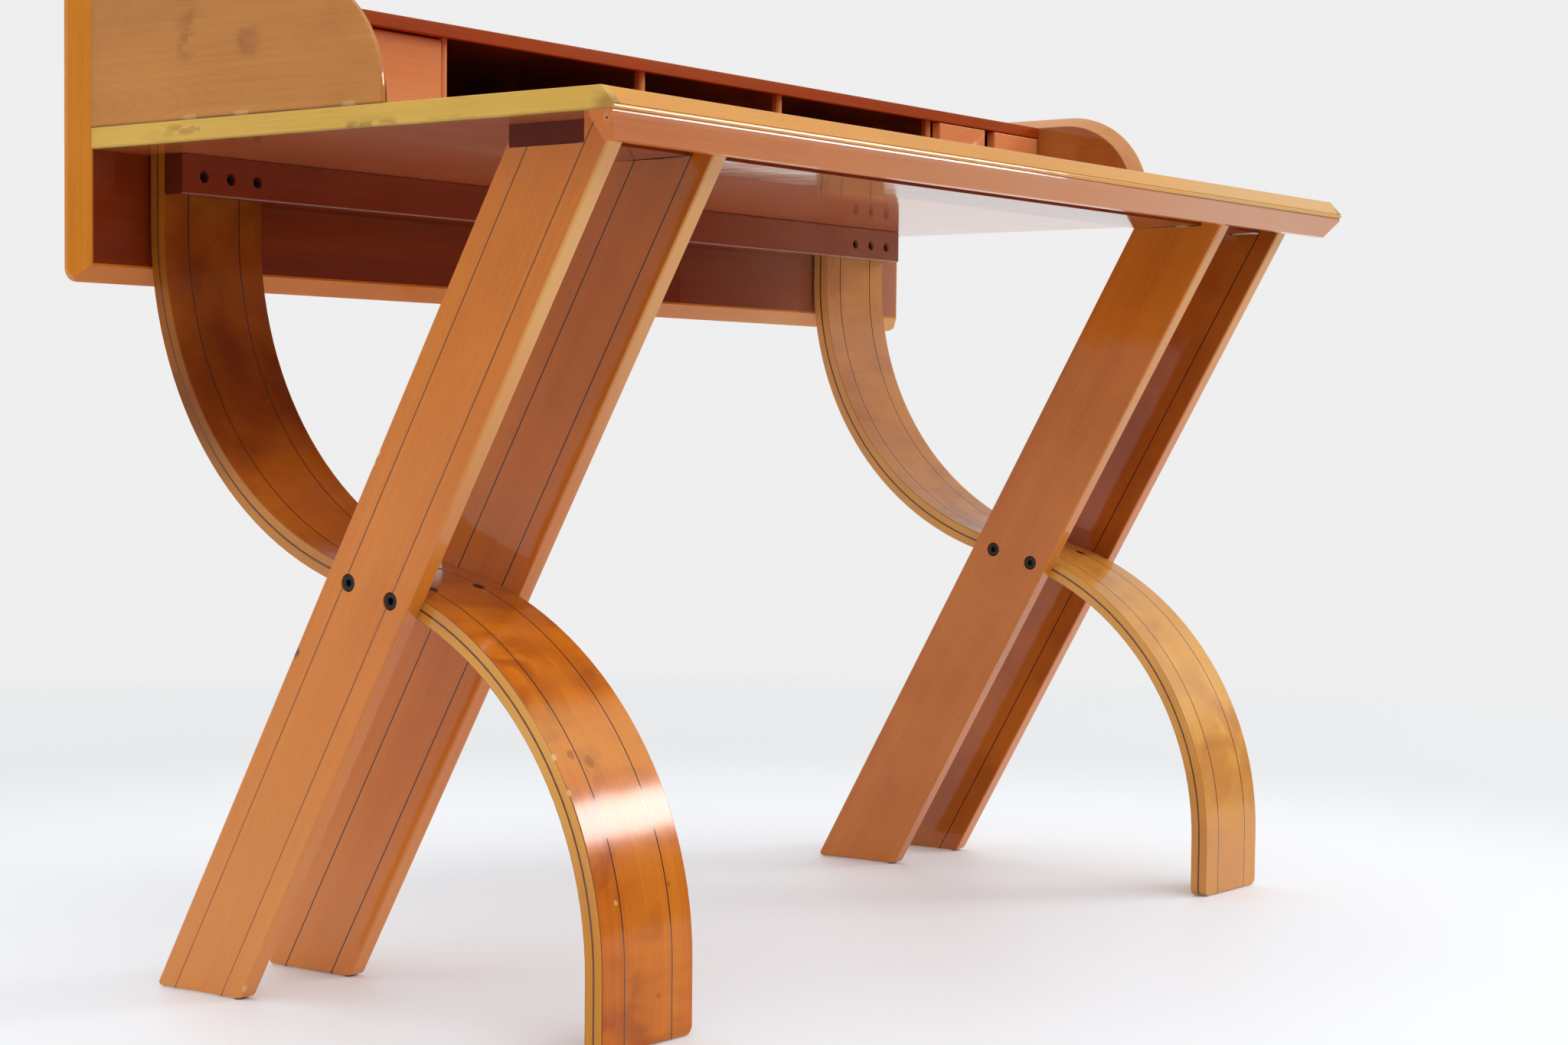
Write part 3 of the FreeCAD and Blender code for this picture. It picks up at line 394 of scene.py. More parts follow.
def make_handling():
    """Years of use on lacquer: uneven gloss, a slow ripple, pale dots and soft clouds."""
    tree, given, result = new_group(
        "handling",
        {"Point": "NodeSocketVector"},
        {
            "Roughness": "NodeSocketFloat",
            "Ripple": "NodeSocketFloat",
            "Dots": "NodeSocketFloat",
            "Haze": "NodeSocketFloat",
        },
    )
    haze = fade(tree, stretched_noise(tree, given["Point"], HAZE_SCALE, detail=4.0), *HAZE_STEP)
    cells = add_node(tree, "ShaderNodeTexVoronoi", {"Vector": given["Point"], "Scale": DOT_SCALE})
    near = fade(tree, cells.outputs["Distance"], *DOT_STEP)
    picked = maths(tree, "GREATER_THAN", axes_of(tree, cells.outputs["Color"])["X"], DOT_PICKED)
    wire(tree, result["Roughness"], maths(tree, "MULTIPLY_ADD", haze, GROUND_SPREAD, GROUND_ROUGHNESS))
    wire(tree, result["Ripple"], stretched_noise(tree, given["Point"], RIPPLE_SCALE))
    wire(tree, result["Dots"], maths(tree, "MULTIPLY", near, picked))
    wire(tree, result["Haze"], haze)
    return tree


def make_arches():
    """The nested arches of a plain-sawn board: Along runs with the grain, Across over it."""
    tree, given, result = new_group(
        "arches",
        {"Point": "NodeSocketVector", "Along": "NodeSocketFloat", "Across": "NodeSocketFloat"},
        {"Mask": "NodeSocketFloat"},
    )
    sway = maths(tree, "MULTIPLY", stretched_noise(tree, given["Point"], SWAY_SCALE), SWAY_SIZE)
    bow = maths(tree, "MULTIPLY", maths(tree, "MULTIPLY", given["Across"], given["Across"]), ARCH_BOW)
    course = maths(tree, "ADD", maths(tree, "ADD", bow, sway), given["Along"])
    wave = maths(tree, "SINE", maths(tree, "MULTIPLY", course, ARCH_TURNS))
    wire(tree, result["Mask"], fade(tree, wave, *ARCH_STEP))
    return tree


wood_grain = make_wood_grain()
bent_run = make_bent_run()
spot = make_spot()
handling = make_handling()
arches = make_arches()


# Marks: masks by which a wood lays a colour over itself

def spot_mark(centre, radius):
    """A small round mark."""
    def mask(tree, point):
        return use_group(tree, spot, {"Point": point, "Centre": centre, "Radius": radius})["Mask"]
    return mask


def band_mark(axis, low, high):
    """A soft step that starts at low and is full at high, along one axis."""
    def mask(tree, point):
        return fade(tree, axes_of(tree, point)[axis], low, high)
    return mask


def ends_mark(axis, low, high):
    """The same step at both ends of an axis."""
    def mask(tree, point):
        return fade(tree, maths(tree, "ABSOLUTE", axes_of(tree, point)[axis]), low, high)
    return mask


def patch_mark(scale, low, high):
    """Loose patches."""
    def mask(tree, point):
        return fade(tree, stretched_noise(tree, point, scale, detail=3.0, wander=0.5), low, high)
    return mask


def arch_mark(along, across, middle):
    """A board's nested arches, about a line on its face."""
    def mask(tree, point):
        place = axes_of(tree, point)
        off = maths(tree, "SUBTRACT", place[across], middle)
        return use_group(tree, arches, {"Point": point, "Along": place[along], "Across": off})["Mask"]
    return mask


def box_mark(low, high, soft):
    """Inside a box, with a soft rim."""
    def mask(tree, point):
        share = 1.0
        for axis, start, end in zip(axes_of(tree, point), low, high):
            rise = fade(tree, axis, start, start + soft)
            fall = fade(tree, axis, end, end - soft)
            share = maths(tree, "MULTIPLY", share, maths(tree, "MULTIPLY", rise, fall))
        return share
    return mask


def front_edge_mark(low, high):
    """The planks' front edges, from a height where it starts to one where it is full."""
    def mask(tree, point):
        place = axes_of(tree, point)
        across = maths(tree, "MULTIPLY", place["Y"], math.cos(PLANK_LEAN))
        across = maths(tree, "MULTIPLY_ADD", place["Z"], math.sin(PLANK_LEAN), across)
        near = fade(tree, across, PLANK_FRONT + EDGE_SOFT, PLANK_FRONT)
        return maths(tree, "MULTIPLY", near, fade(tree, place["Z"], low, high))
    return mask


def off_mark(axis, middle, low, high):
    """Both ways along one axis, from where it starts to where it is full."""
    def mask(tree, point):
        off = maths(tree, "ABSOLUTE", maths(tree, "SUBTRACT", axes_of(tree, point)[axis], middle))
        return fade(tree, off, low, high)
    return mask


def where_both(first, second):
    """Where two marks meet."""
    def mask(tree, point):
        return maths(tree, "MULTIPLY", first(tree, point), second(tree, point))
    return mask


def spots(tint, *rows):
    """Small marks of one colour, each by its place, radius and share."""
    return [(spot_mark(place, radius), tint, share) for place, radius, share in rows]


# Materials

def new_material(name):
    """A material with an empty tree, and the place on the piece as an output."""
    material = bpy.data.materials.new(name)
    material.use_nodes = True
    material.node_tree.nodes.clear()
    point = add_node(material.node_tree, "ShaderNodeTexCoord").outputs["Object"]
    return material, material.node_tree, point


def turned(tree, point, turn):
    """The place on the piece, turned so that its grain runs along Z."""
    return add_node(tree, "ShaderNodeMapping", {"Vector": point, "Rotation": turn}).outputs[0]


def marked(tree, point, colour, marks):
    """A colour with marks laid over it, each by its mask and a share."""
    for mask, tint, share in marks:
        colour = blend(tree, maths(tree, "MULTIPLY", mask(tree, point), share), colour, tint)
    return colour


def show(tree, shader):
    """Makes a shader the material's surface."""
    output = add_node(tree, "ShaderNodeOutputMaterial")
    tree.links.new(shader.outputs[0], output.inputs["Surface"])


def lacquer(tree, point, colour, height, cloud, dull=None, coat_rough=COAT_ROUGHNESS):
    """Clear gloss lacquer, a little uneven, over a coloured ground.

    Cloud is the tone of its soft clouds. Dull is a mask and the share of the coat lost there.
    """
    wear = use_group(tree, handling, {"Point": point})
    coat = 1.0
    if dull:
        coat = maths(tree, "MULTIPLY_ADD", dull[0](tree, point), -dull[1], 1.0)
    colour = blend(tree, maths(tree, "MULTIPLY", wear["Haze"], HAZE_SHARE), colour, cloud)
    colour = blend(tree, maths(tree, "MULTIPLY", wear["Dots"], DOT_SHARE), colour, CHIP)
    grain = add_node(tree, "ShaderNodeBump", {"Height": height, **GRAIN_RELIEF})
    ripple = add_node(tree, "ShaderNodeBump", {"Height": wear["Ripple"], **RIPPLE_RELIEF})
    shader = add_node(tree, "ShaderNodeBsdfPrincipled", {
        "Base Color": colour,
        "Roughness": wear["Roughness"],
        "Specular IOR Level": GROUND_SPECULAR,
        "Normal": grain.outputs[0],
        "Coat Weight": coat,
        "Coat Roughness": coat_rough,
        "Coat IOR": COAT_IOR,
        "Coat Normal": ripple.outputs[0],
    })
    show(tree, shader)


def board(name, tones, turn, marks=(), dull=None):
    """Straight-grained lacquered wood, with marks laid over its grain."""
    material, tree, point = new_material(name)
    light, deep = tones
    grain = use_group(tree, wood_grain, {"Grain Space": turned(tree, point, turn)})
    colour = blend(tree, grain["Growth"], light, deep)
    colour = blend(tree, maths(tree, "MULTIPLY", grain["Pores"], PORE_SHARE), colour, toned(deep, PORE_TONE))
    colour = marked(tree, point, colour, marks)
    lacquer(tree, point, colour, grain["Height"], toned(light, BOARD_HAZE_TONE), dull)
    return material


def bent_ply(name, tones, flame, middle, marks=()):
    """Bent plies: stained face veneer with cross figure, pale laminations on the cut sides."""
    material, tree, point = new_material(name)
    run = use_group(tree, bent_run, {"Point": point})
    space = run["Grain Space"]
    grain = use_group(tree, wood_grain, {"Grain Space": space})
    light, deep = tones
    face = blend(tree, grain["Growth"], light, deep)
    broad = fade(tree, stretched_noise(tree, space, BROAD_SCALE, detail=3.0, wander=1.8), *BROAD_STEP)
    wavy = fade(tree, stretched_noise(tree, space, WAVY_SCALE, wander=1.0), *WAVY_STEP)
    figure = maths(tree, "MULTIPLY_ADD", broad, BROAD_SHARE, maths(tree, "MULTIPLY", wavy, WAVY_SHARE))
    face = blend(tree, figure, face, flame)
    side = blend(tree, grain["Growth"], *EDGE_PLY)
    veneer = fade(tree, maths(tree, "ABSOLUTE", run["Depth"]), *VENEER)
    side = blend(tree, veneer, side, toned(flame, VENEER_TONE))
    off_middle = maths(tree, "ABSOLUTE", maths(tree, "SUBTRACT", axes_of(tree, point)["X"], middle))
    colour = blend(tree, fade(tree, off_middle, *LEG_SIDE), face, side)
    colour = marked(tree, point, colour, marks)
    worn_ends = (off_mark("Z", LEG_WORN_ABOUT, *LEG_WORN_FROM), LEG_WORN_SHARE)
    lacquer(tree, point, colour, grain["Height"], toned(light, LEG_HAZE_TONE), worn_ends, LEG_COAT_ROUGHNESS)
    return material


def core_lines(name):
    """The bent leg's core: two dark lines with a reddish ply between them."""
    material, tree, point = new_material(name)
    run = use_group(tree, bent_run, {"Point": point})
    grain = use_group(tree, wood_grain, {"Grain Space": run["Grain Space"]})
    dark = blend(tree, grain["Growth"], *INLAY)
    off = fade(tree, maths(tree, "ABSOLUTE", run["Depth"]), *CORE_LINE)
    lacquer(tree, point, blend(tree, off, CORE_MIDDLE, dark), grain["Height"], INLAY[0])
    return material


def plain(name, colour, rough, metallic):
    """One colour with a little wear, for steel and pads."""
    material, tree, point = new_material(name)
    wear = use_group(tree, handling, {"Point": point})
    tint = blend(tree, wear["Haze"], colour, toned(colour, PLAIN_HAZE_TONE))
    shader = add_node(tree, "ShaderNodeBsdfPrincipled", {
        "Base Color": tint,
        "Metallic": metallic,
        "Roughness": maths(tree, "ADD", wear["Roughness"], rough - GROUND_ROUGHNESS),
    })
    show(tree, shader)
    return material


def paint(mesh, material):
    """Makes a material a mesh's only one."""
    mesh.materials.clear()
    mesh.materials.append(material)


def dress(material, *nodes):
    """Gives CAD nodes a material."""
    for name in nodes:
        paint(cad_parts[name].data, material)


# Places on the solids that marks and worn edges start from
slab_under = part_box("top_slab")[0].z
slab_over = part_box("top_slab")[1].z
slab_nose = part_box("front_nosing")[0].y
panel_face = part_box("back_panel")[0].y
lip_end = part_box("top_end_lip_right")[1].x
bent_middle = sum(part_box("bent_leg_right_core")[end].x for end in (0, 1)) / 2

# The woods, each with the marks on it
outer_left_wood = board("outer_left_wood", HONEY, ALONG_PLANK, (
    # Painted light: paler lower down, and a golden light on the front edge up high
    (band_mark("Z", 0.36, 0.10), PAINTED_LIGHT_PALE, 0.3),
    (front_edge_mark(0.30, 0.64), PAINTED_LIGHT_GOLD, 0.9),
    *spots(NICK, ((PLANK_FACE, 0.0775, 0.301), 0.006, 0.9)),
    *spots(
        CHIP,
        ((PLANK_FACE, -0.0155, 0.467), 0.0035, 0.8),
        ((PLANK_FACE, -0.0105, 0.458), 0.0025, 0.8),
        ((PLANK_FACE, 0.136, 0.010), 0.004, 0.5),
        ((PLANK_FACE, 0.128, 0.012), 0.003, 0.5),
    ),
))
inner_left_wood = board("inner_left_wood", HONEY, ALONG_PLANK, (
    # Painted shade high up under the desk, painted light lower down and on the front edge
    (band_mark("Z", 0.25, 0.60), SHADE, 0.22),
    (band_mark("Z", 0.25, 0.05), PAINTED_LIGHT_PALE, 0.3),
    (front_edge_mark(0.40, 0.66), PAINTED_LIGHT_GOLD, 0.7),
))
inner_right_wood = board("inner_right_wood", HONEY, ALONG_PLANK, (
    # Painted shade, deeper lower down, and painted light on the front edge
    (band_mark("Z", 0.90, 0.05), SHADE, 0.25),
    (front_edge_mark(0.30, 0.64), PAINTED_LIGHT_GOLD, 0.5),
))
outer_right_wood = board("outer_right_wood", HONEY, ALONG_PLANK, (
    # Painted shade over the inner face, and painted light on the front edge
    (box_mark((0.560, -0.300, 0.000), (0.5670, 0.300, 0.730), 0.0008), SHADE, 0.63),
    (front_edge_mark(0.40, 0.66), PAINTED_LIGHT_GOLD, 0.5),
))
top_wood = board("top_wood", UNDERSIDE, ALONG_X, (
    *spots(HOLE, *[
        ((across, back, slab_under), PIN_HOLE, 0.9)
        for across, back in ((0.079, -0.080), (0.344, -0.047), (0.427, -0.091))
    ]),
))
smudge = patch_mark((50, 45, 150), 0.36, 0.56)
rear_stain = box_mark((-0.640, 0.140, 0.7250), (-0.620, 0.190, 0.7395), 0.006)
front_stain = box_mark((-0.640, -0.080, 0.7150), (-0.620, -0.020, 0.7305), 0.007)
end_lip_wood = board("end_lip_wood", YELLOW, ALONG_Y, (
    (patch_mark((25, 14, 70), 0.56, 0.74), STAIN_AND_SHADE, 0.4),
    (where_both(rear_stain, smudge), STAIN_AND_SHADE, 0.6),
    (where_both(front_stain, smudge), STAIN_AND_SHADE, 0.65),
    # Painted shade: darker along the lip's lower edge and at its lower front corner
    (band_mark("Z", 0.7245, 0.7222), STAIN_AND_SHADE, 0.6),
    (where_both(band_mark("Y", -0.268, -0.285), band_mark("Z", 0.735, 0.728)), STAIN_AND_SHADE, 0.7),
))
nosing_wood = board("nosing_wood", NOSING, ALONG_X, (
    # Painted light, paler towards the right end
    (band_mark("X", -0.20, 0.50), NOSING_PAINTED_LIGHT, 1.0),
))
lip_hole = (-0.6285, -0.2855, 0.7155)
lip_wear = where_both(band_mark("Z", 0.7185, 0.7160), band_mark("X", 0.50, -0.20))
front_lip_wood = board("front_lip_wood", LIP, ALONG_X, (
    # Painted light, paler towards the right end
    (band_mark("X", -0.70, 0.45), LIP_PAINTED_LIGHT, 1.0),
    *spots(CHIP, (lip_hole, PIN_HOLE, 0.25)),
    *spots(HOLE, (lip_hole, 0.0018, 1.0)),
), dull=(lip_wear, 0.45))
panel_in_bays = box_mark((-BAY_HALF, 0.270, 0.738), (BAY_HALF, 0.278, 0.828), 0.001)
panel_below = box_mark((0.200, 0.270, 0.600), (0.660, 0.280, slab_under), 0.001)
toward_right = band_mark("X", 0.12, 0.60)
low_lip = band_mark("Z", 0.70, 0.62)
panel_wood = board("panel_wood", BROWN, ALONG_X, (
    (panel_in_bays, UNLIT, UNLIT_SHARE),
    # Painted light on the panel's right part under the slab
    (where_both(toward_right, panel_below), PAINTED_LIGHT_BROWN, 0.7),
))
panel_lip_wood = board("panel_lip_wood", HONEY, ALONG_X, (
    # Painted light on the bottom lip's right part
    (where_both(toward_right, low_lip), PAINTED_LIGHT_GOLD, 0.7),
), dull=(low_lip, 0.5))
panel_stile_wood = board("panel_stile_wood", STILE, ALONG_Z)
knot_figure = patch_mark((60, 26, 70), 0.42, 0.62)
above_seam = band_mark("Z", 0.7450, 0.7428)
gallery_side_wood = board("gallery_side_wood", GALLERY, ALONG_Y, (
    (where_both(arch_mark("Y", "Z", 0.757), band_mark("Y", 0.05, 0.20)), toned(GALLERY[1], 0.7), 0.15),
    (patch_mark((9, 9, 16), 0.5, 0.72), toned(GALLERY[1], 0.72), 0.3),
    (ends_mark("X", 0.6125, 0.6118), BROWN[0], 0.75),
    *[
        (where_both(spot_mark((GALLERY_FACE, back, up), 0.016), knot_figure), KNOT, 0.4)
        for back, up in ((0.162, 0.829), (0.157, 0.800), (0.085, 0.801))
    ],
    # Painted shade along the joint with the slab
    (band_mark("Z", SEAM_TOP, 0.7402), JOINT_SHADE, 0.75),
    *[
        (where_both(spot_mark((GALLERY_FACE, back, SEAM_TOP), 0.009), above_seam), CHIP, 0.28)
        for back in (0.155, 0.0945, -0.026)
    ],
))
shelf_in_bays = box_mark((-BAY_HALF, 0.078, 0.820), (BAY_HALF, 0.280, 0.828), 0.001)
shelf_front = band_mark("Y", 0.0785, 0.0765)
shelf_wood = board("shelf_wood", SHELF, ALONG_X, (
    (shelf_in_bays, UNLIT, UNLIT_SHARE),
), dull=(shelf_front, 0.9))
upright_inside = box_mark((-DIVIDED_HALF, 0.090, 0.735), (DIVIDED_HALF, 0.280, 0.830), 0.002)
# Painted light on the dividers' fronts
upright_front_painted_light = box_mark((-DIVIDED_HALF, 0.070, 0.735), (DIVIDED_HALF, 0.087, 0.830), 0.001)
upright_wood = board("upright_wood", RED, ALONG_Z, (
    (upright_inside, UNLIT, UNLIT_SHARE),
    # Painted light, brightening the divider fronts
    (upright_front_painted_light, DRAWER[0], 0.9),
))
front_rail_end = ends_mark("X", 0.5835, 0.5839)
rear_rail_end = ends_mark("X", 0.5655, 0.5659)
front_rail_wood = board("front_rail_wood", BROWN, ALONG_X, (
    (front_rail_end, END_GRAIN, 1.0),
), dull=(front_rail_end, END_DULL))
rear_rail_wood = board("rear_rail_wood", BROWN, ALONG_X, (
    # Painted light, paler towards the right end
    (band_mark("X", 0.00, 0.50), PAINTED_LIGHT_BROWN, 0.5),
    (rear_rail_end, END_GRAIN, 1.0),
), dull=(rear_rail_end, END_DULL))
drawer_front_wood = board("drawer_front_wood", DRAWER, ALONG_X, (
    (arch_mark("X", "Z", 0.74), DRAWER[1], 0.4),
))
drawer_box_wood = board("drawer_box_wood", DRAWER_BOX, ALONG_Y)
outer_line = band_mark("X", -0.575, -0.583)
inlay_wood = board("inlay_wood", INLAY, ALONG_PLANK, (
    (outer_line, FADED_INLAY, 0.9),
    (where_both(outer_line, band_mark("Z", 0.50, 0.10)), HONEY[1], 0.4),
))
bent_left = bent_ply("bent_left", ORANGE, FLAME, -bent_middle, (
    # Painted shade: the next two marks darken the leg near the crossing, where it lies under the desk
    (band_mark("Z", 0.31, 0.50), PAINTED_SHADE_FLAME, 0.84),
    (where_both(band_mark("Z", 0.30, 0.35), band_mark("Z", 0.42, 0.38)), FLAME, 0.35),
    # Painted sheen about the leg's highlight band
    (where_both(band_mark("Z", 0.20, 0.23), band_mark("Z", 0.28, 0.25)), PAINTED_LIGHT_GOLD, 0.35),
    # Darker towards the foot
    (band_mark("Z", 0.19, 0.12), FLAME, 0.28),
    *spots(
        KNOT,
        ((-0.545, -0.187, 0.2316), 0.0048, 0.6),
        ((-0.527, -0.191, 0.2243), 0.0060, 0.6),
        ((-0.495, -0.237, 0.039), 0.0026, 0.6),
        ((-0.474, -0.231, 0.125), 0.0024, 0.7),
    ),
    *spots(
        CHIP,
        ((-0.566, -0.187, 0.231), 0.0030, 0.8),
        ((-0.566, -0.2025, 0.2043), 0.0030, 0.6),
        ((-0.5435, -0.232, 0.1185), 0.0022, 0.5),
    ),
))
bent_right = bent_ply("bent_right", PALE_ORANGE, PALE_FLAME, bent_middle, (
    # Painted reflection, pink, high on the leg
    (band_mark("Z", 0.36, 0.50), PAINTED_REFLECTION_PINK, 0.4),
    # Painted sheen at the top of the lower arc
    (where_both(band_mark("Z", 0.20, 0.26), band_mark("Z", 0.345, 0.315)), PAINTED_LIGHT_GOLD, 0.45),
    # Darker towards the foot, then a faint painted reflection there
    (band_mark("Z", 0.20, 0.08), PALE_FLAME, 0.6),
    (band_mark("Z", 0.16, 0.04), PAINTED_REFLECTION_PINK, 0.15),
))
core_wood = core_lines("core_wood")
black_steel = plain("black_steel", BLACK_STEEL, rough=0.4, metallic=0.4)
zinc_steel = plain("zinc_steel", ZINC_STEEL, rough=0.35, metallic=1.0)
pale_pad = plain("pale_pad", PALE_PAD, rough=0.6, metallic=0.0)

# Which node has which material
SIDES = ("left", "right")
NUMBERS = (1, 2, 3, 4)
BOX_WALLS = ("side_left", "side_right", "back", "bottom")
dress(outer_left_wood, "plank_outer_left")
dress(inner_left_wood, "plank_inner_left")
dress(inner_right_wood, "plank_inner_right")
dress(outer_right_wood, "plank_outer_right")
dress(top_wood, "top_slab")
dress(rear_rail_wood, "rear_rail")
dress(panel_wood, "back_panel")
for number in NUMBERS:
    dress(upright_wood, f"gallery_divider_{number}")
    dress(drawer_front_wood, f"drawer_{number}_front")
    dress(drawer_box_wood, *[f"drawer_{number}_{wall}" for wall in BOX_WALLS])
for side, ply in zip(SIDES, (bent_left, bent_right)):
    dress(ply, f"bent_leg_{side}_front_ply", f"bent_leg_{side}_rear_ply")
    dress(core_wood, f"bent_leg_{side}_core")
    dress(inlay_wood, f"leg_inlays_{side}")
    dress(upright_wood, f"drawer_partition_{side}")
dress(black_steel, "crossing_bolts", "barrel_nuts", "rear_rail_bolts")
dress(zinc_steel, "front_rail_screws")
dress(pale_pad, "foot_glides")


# Worn arrises: copies of nodes with their open edges eased

def plane_off(shape, place, facing):
    """Takes off what stands proud of a plane, and closes the flat that is left."""
    whole = [*shape.verts, *shape.edges, *shape.faces]
    cut = bmesh.ops.bisect_plane(shape, geom=whole, plane_co=place, plane_no=facing, clear_outer=True)
    rim = [item for item in cut["geom_cut"] if isinstance(item, bmesh.types.BMEdge)]
    bmesh.ops.holes_fill(shape, edges=rim)
    bmesh.ops.recalc_face_normals(shape, faces=shape.faces)


def eased(node, material, slot, *rounds, flat=None):
    """A node's copy with worn edges, shown in its place.

    Each round is a width and which edges it takes. A flat is a point on a plane and the way it faces.
    """
    shape = bmesh.new()
    shape.from_mesh(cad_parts[node].data)
    bmesh.ops.remove_doubles(shape, verts=shape.verts, dist=SAME_POINT)
    bmesh.ops.dissolve_limit(shape, angle_limit=FLAT_ANGLE, verts=shape.verts, edges=shape.edges)
    if flat:
        plane_off(shape, *flat)
    for width, picks in rounds:
        sharp = [edge for edge in shape.edges if edge.calc_face_angle(0.0) > CORNER_ANGLE and picks(edge)]
        bmesh.ops.bevel(
            shape, geom=sharp, offset=width, affect="EDGES", segments=ROUND_STEPS, profile=0.5, material=-1,
            clamp_overlap=True,
        )
    for edge in shape.edges:
        edge.smooth = edge.calc_face_angle(math.pi) < CORNER_ANGLE
    for face in shape.faces:
        face.smooth = True
    mesh = bpy.data.meshes.new(f"{node}_eased")
    shape.to_mesh(mesh)
    shape.free()
    paint(mesh, material)
    piece = bpy.data.objects.new(f"{node}_eased", mesh)
    bpy.context.scene.collection.objects.link(piece)
    piece.modifiers.new("even_normals", "WEIGHTED_NORMAL").keep_sharp = True
    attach(piece, "desk")
    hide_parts(node)


def runs(edge, axis):
    """Whether an edge lies along X, Y or Z, given as 0, 1 or 2."""
    line = edge.verts[1].co - edge.verts[0].co
    return abs(line[axis]) > PARALLEL * line.length


def middle_of(edge):
    """The middle of an edge."""
    return (edge.verts[0].co + edge.verts[1].co) / 2


def on_plane(edge, axis, place):
    """Whether an edge lies at one place on X, Y or Z, given as 0, 1 or 2."""
    return all(abs(vert.co[axis] - place) < TOUCHING for vert in edge.verts)


# The flats worn along the bead and the lip's upper edge, turned a little upwards
WORN_FACING = Vector((0.0, -math.cos(WORN_TILT), math.sin(WORN_TILT)))

eased("front_nosing", nosing_wood, "honey_wood", (
    NOSING_ROUND, lambda edge: runs(edge, 0) and middle_of(edge).y < slab_nose + NOSING_BEVEL,
))
bead_low, bead_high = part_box("front_bead")
bead_centre = Vector((0.0, bead_high.y, (bead_low.z + bead_high.z) / 2))
eased("front_bead", nosing_wood, "honey_wood", flat=(bead_centre + WORN_FACING * BEAD_FLAT, WORN_FACING))
rail_low, rail_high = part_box("front_rail")
eased("front_rail", front_rail_wood, "brown_wood", flat=(
    Vector((0.0, rail_high.y, rail_low.z)),
    Vector((0.0, -math.sin(RAIL_TILT), -math.cos(RAIL_TILT))),
))
lip_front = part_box("front_lip")[0].y
flat_high, flat_low = [slab_under - drop for drop in LIP_FLAT_ZONE]


def on_lip_top(edge):
    """Whether an edge is the front lip's upper front one."""
    return runs(edge, 0) and on_plane(edge, 2, slab_under) and middle_of(edge).y < lip_front + LIP_REACH


eased(
    "front_lip", front_lip_wood, "honey_wood",
    (LIP_EDGE_ROUND, on_lip_top),
    (LIP_FLAT_ROUND, lambda edge: runs(edge, 0) and flat_high > middle_of(edge).z > flat_low),
    (ROUND, lambda edge: middle_of(edge).z < flat_low),
    flat=(Vector((0.0, lip_front + LIP_FLAT, slab_under)), WORN_FACING),
)
for side in SIDES:
    eased(f"top_end_lip_{side}", end_lip_wood, "yellow_wood", (
        ROUND, lambda edge: abs(middle_of(edge).x) > lip_end - TOUCHING,
    ))
    eased(f"gallery_side_{side}", gallery_side_wood, "honey_wood", (
        GALLERY_ROUND, lambda edge: not on_plane(edge, 2, slab_over) and not on_plane(edge, 1, panel_face),
    ))
    eased(f"back_panel_lip_{side}", panel_stile_wood, "honey_wood", (ROUND, lambda edge: runs(edge, 2)))
for row in ("top", "bottom"):
    eased(f"back_panel_lip_{row}", panel_lip_wood, "honey_wood", (ROUND, lambda edge: runs(edge, 0)))
eased("gallery_top", shelf_wood, "brown_wood", (
    ROUND, lambda edge: runs(edge, 0) and not on_plane(edge, 1, panel_face),
))


# Studio

def make_floor():
    """A pale floor that fades out into the room's light."""
    mesh = bpy.data.meshes.new("floor")
    shape = bmesh.new()
    bmesh.ops.create_circle(shape, cap_ends=True, segments=FLOOR_SIDES, radius=FLOOR_RADIUS)
    shape.to_mesh(mesh)
    shape.free()
    floor = bpy.data.objects.new("floor", mesh)
    bpy.context.scene.collection.objects.link(floor)
    material, tree, point = new_material("pale_floor")
    away = add_node(tree, "ShaderNodeVectorMath", {0: point}, operation="LENGTH").outputs["Value"]
    cloud = stretched_noise(tree, point, FLOOR_CLOUD, detail=3.0)
    near = blend(tree, cloud, *FLOOR_TONES)
    shader = add_node(tree, "ShaderNodeBsdfPrincipled", {
        "Base Color": blend(tree, fade(tree, away, FLOOR_NEAR, FLOOR_FAR), near, FLOOR_DISTANCE),
        "Roughness": FLOOR_ROUGHNESS,
        "Alpha": fade(tree, away, FLOOR_FADE[1], FLOOR_FADE[0]),
    })
    show(tree, shader)
    mesh.materials.append(material)


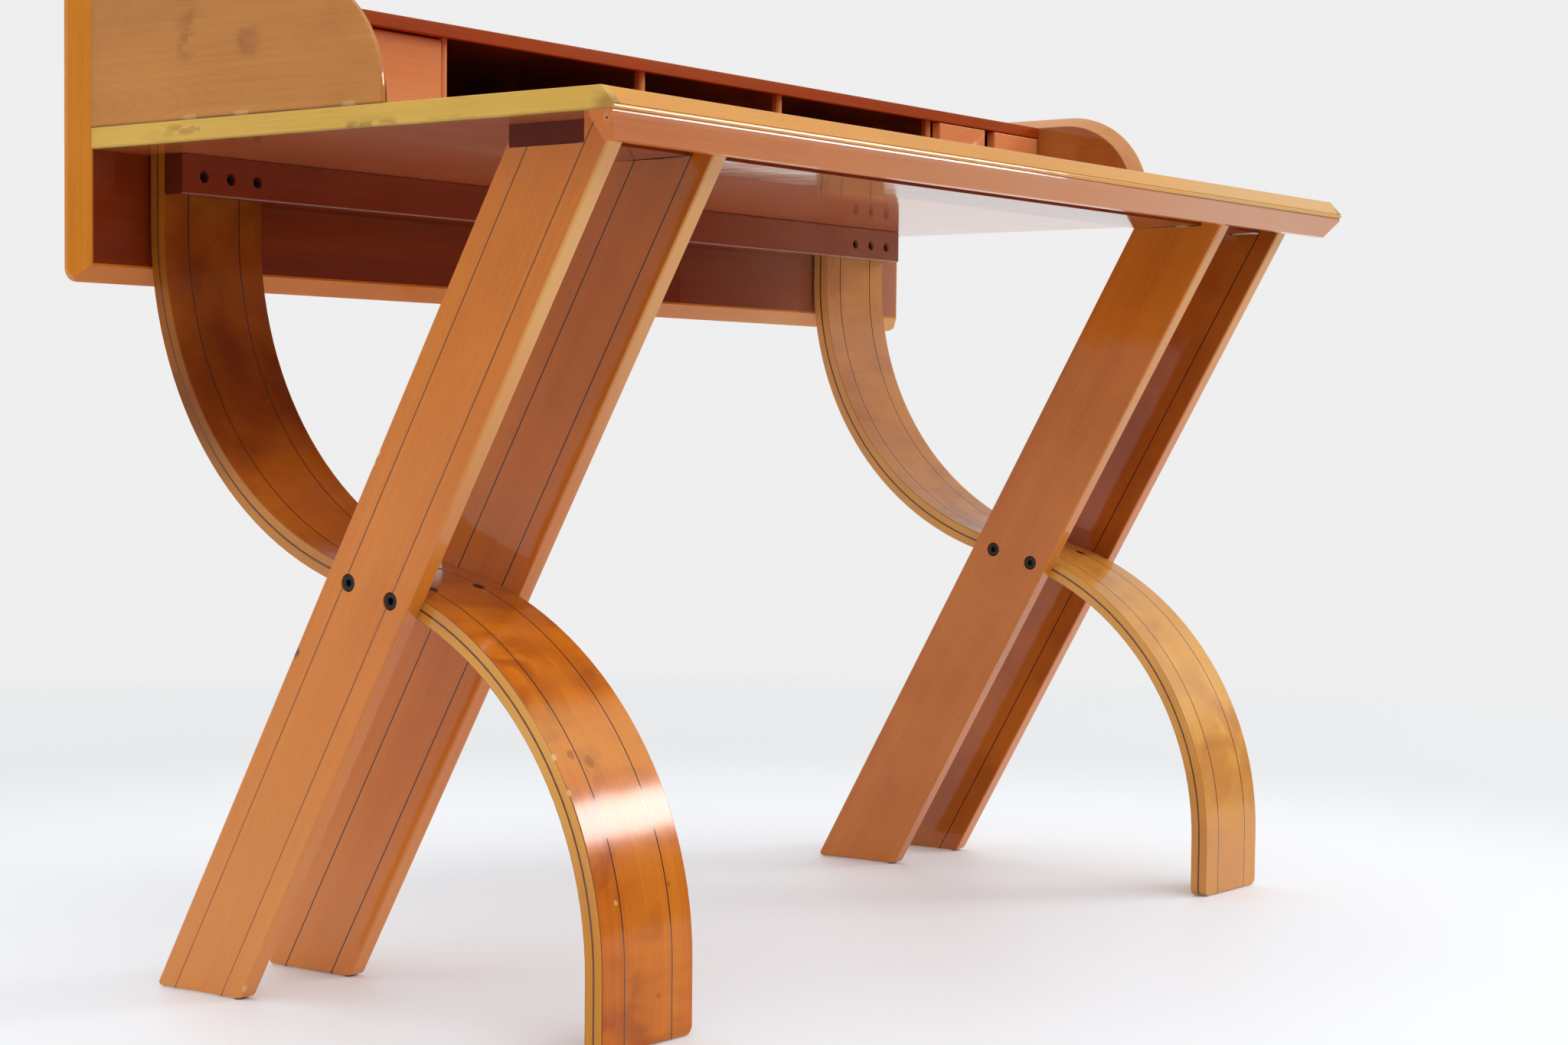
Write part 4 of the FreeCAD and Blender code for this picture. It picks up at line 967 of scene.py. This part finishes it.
def make_light():
    """The room's light, dark low down in front, and one soft window from the right in front."""
    scene = bpy.context.scene
    world = bpy.data.worlds.new("studio")
    scene.world = world
    world.use_nodes = True
    tree = world.node_tree
    facing = axes_of(tree, add_node(tree, "ShaderNodeNewGeometry").outputs["Incoming"])
    away = fade(tree, maths(tree, "MULTIPLY", facing["Y"], -1.0), *DARK_FROM)
    height = maths(tree, "MULTIPLY", facing["Z"], -1.0)
    dark = maths(tree, "MULTIPLY", away, fade(tree, height, *DARK_BELOW))
    lit = maths(tree, "MULTIPLY_ADD", maths(tree, "MAXIMUM", height, 0.0), TOP_LIGHT, SIDE_LIGHT)
    above = maths(tree, "MULTIPLY", away, fade(tree, height, *FRONT_ABOVE))
    lit = maths(tree, "MULTIPLY_ADD", above, FRONT_LIGHT, lit)
    below = fade(tree, height, *HORIZON)
    lit = maths(tree, "MULTIPLY_ADD", below, maths(tree, "SUBTRACT", LOW_LIGHT, lit), lit)
    room = maths(tree, "MULTIPLY_ADD", dark, maths(tree, "SUBTRACT", DARK_LIGHT, lit), lit)
    # Reflections see less of the upper right, where the room is unlit beside the window
    aside = fade(tree, maths(tree, "MULTIPLY", facing["X"], -1.0), *DIM_SIDE)
    dim = maths(tree, "MULTIPLY", aside, fade(tree, height, *DIM_ABOVE))
    path = add_node(tree, "ShaderNodeLightPath").outputs
    dim = maths(tree, "MULTIPLY", dim, maths(tree, "MULTIPLY", path["Is Glossy Ray"], DIM_SHARE))
    room = maths(tree, "MULTIPLY", room, maths(tree, "SUBTRACT", 1.0, dim))
    wall = tree.nodes["Background"]
    wall.inputs["Color"].default_value = WHITE
    wall.inputs["Strength"].default_value = WALL_LIGHT
    around = add_node(tree, "ShaderNodeBackground", {"Color": WHITE, "Strength": room})
    both = add_node(tree, "ShaderNodeMixShader", {
        0: path["Is Camera Ray"],
        1: around.outputs[0],
        2: wall.outputs[0],
    })
    tree.links.new(both.outputs[0], tree.nodes["World Output"].inputs["Surface"])
    scene.view_settings.view_transform = "Standard"
    softbox = bpy.data.lights.new("softbox", "AREA")
    softbox.shape = "RECTANGLE"
    softbox.size, softbox.size_y = SOFTBOX_SIZE
    softbox.energy = SOFTBOX_RADIANCE * math.pi * SOFTBOX_SIZE[0] * SOFTBOX_SIZE[1]
    lamp = bpy.data.objects.new("softbox", softbox)
    lamp.location = SOFTBOX_PLACE
    lamp.rotation_mode = "QUATERNION"
    lamp.rotation_quaternion = (SOFTBOX_AIM - SOFTBOX_PLACE).to_track_quat("-Z", "Y")
    lamp.visible_camera = False
    scene.collection.objects.link(lamp)


def make_camera():
    """The photograph's place, heading, lens and framing."""
    lens = bpy.data.cameras.new("camera")
    lens.lens = CAMERA_LENS
    lens.sensor_width = CAMERA_SENSOR
    lens.shift_x, lens.shift_y = CAMERA_SHIFT
    lens.clip_end = CAMERA_REACH
    camera = bpy.data.objects.new("camera", lens)
    level = math.cos(CAMERA_PITCH)
    ahead = Vector((
        level * math.cos(CAMERA_HEADING),
        level * math.sin(CAMERA_HEADING),
        math.sin(CAMERA_PITCH),
    ))
    camera.location = CAMERA_PLACE
    camera.rotation_mode = "QUATERNION"
    camera.rotation_quaternion = ahead.to_track_quat("-Z", "Y") @ Quaternion((0, 0, 1), CAMERA_ROLL)
    bpy.context.scene.collection.objects.link(camera)
    bpy.context.scene.camera = camera


make_floor()
make_light()
make_camera()
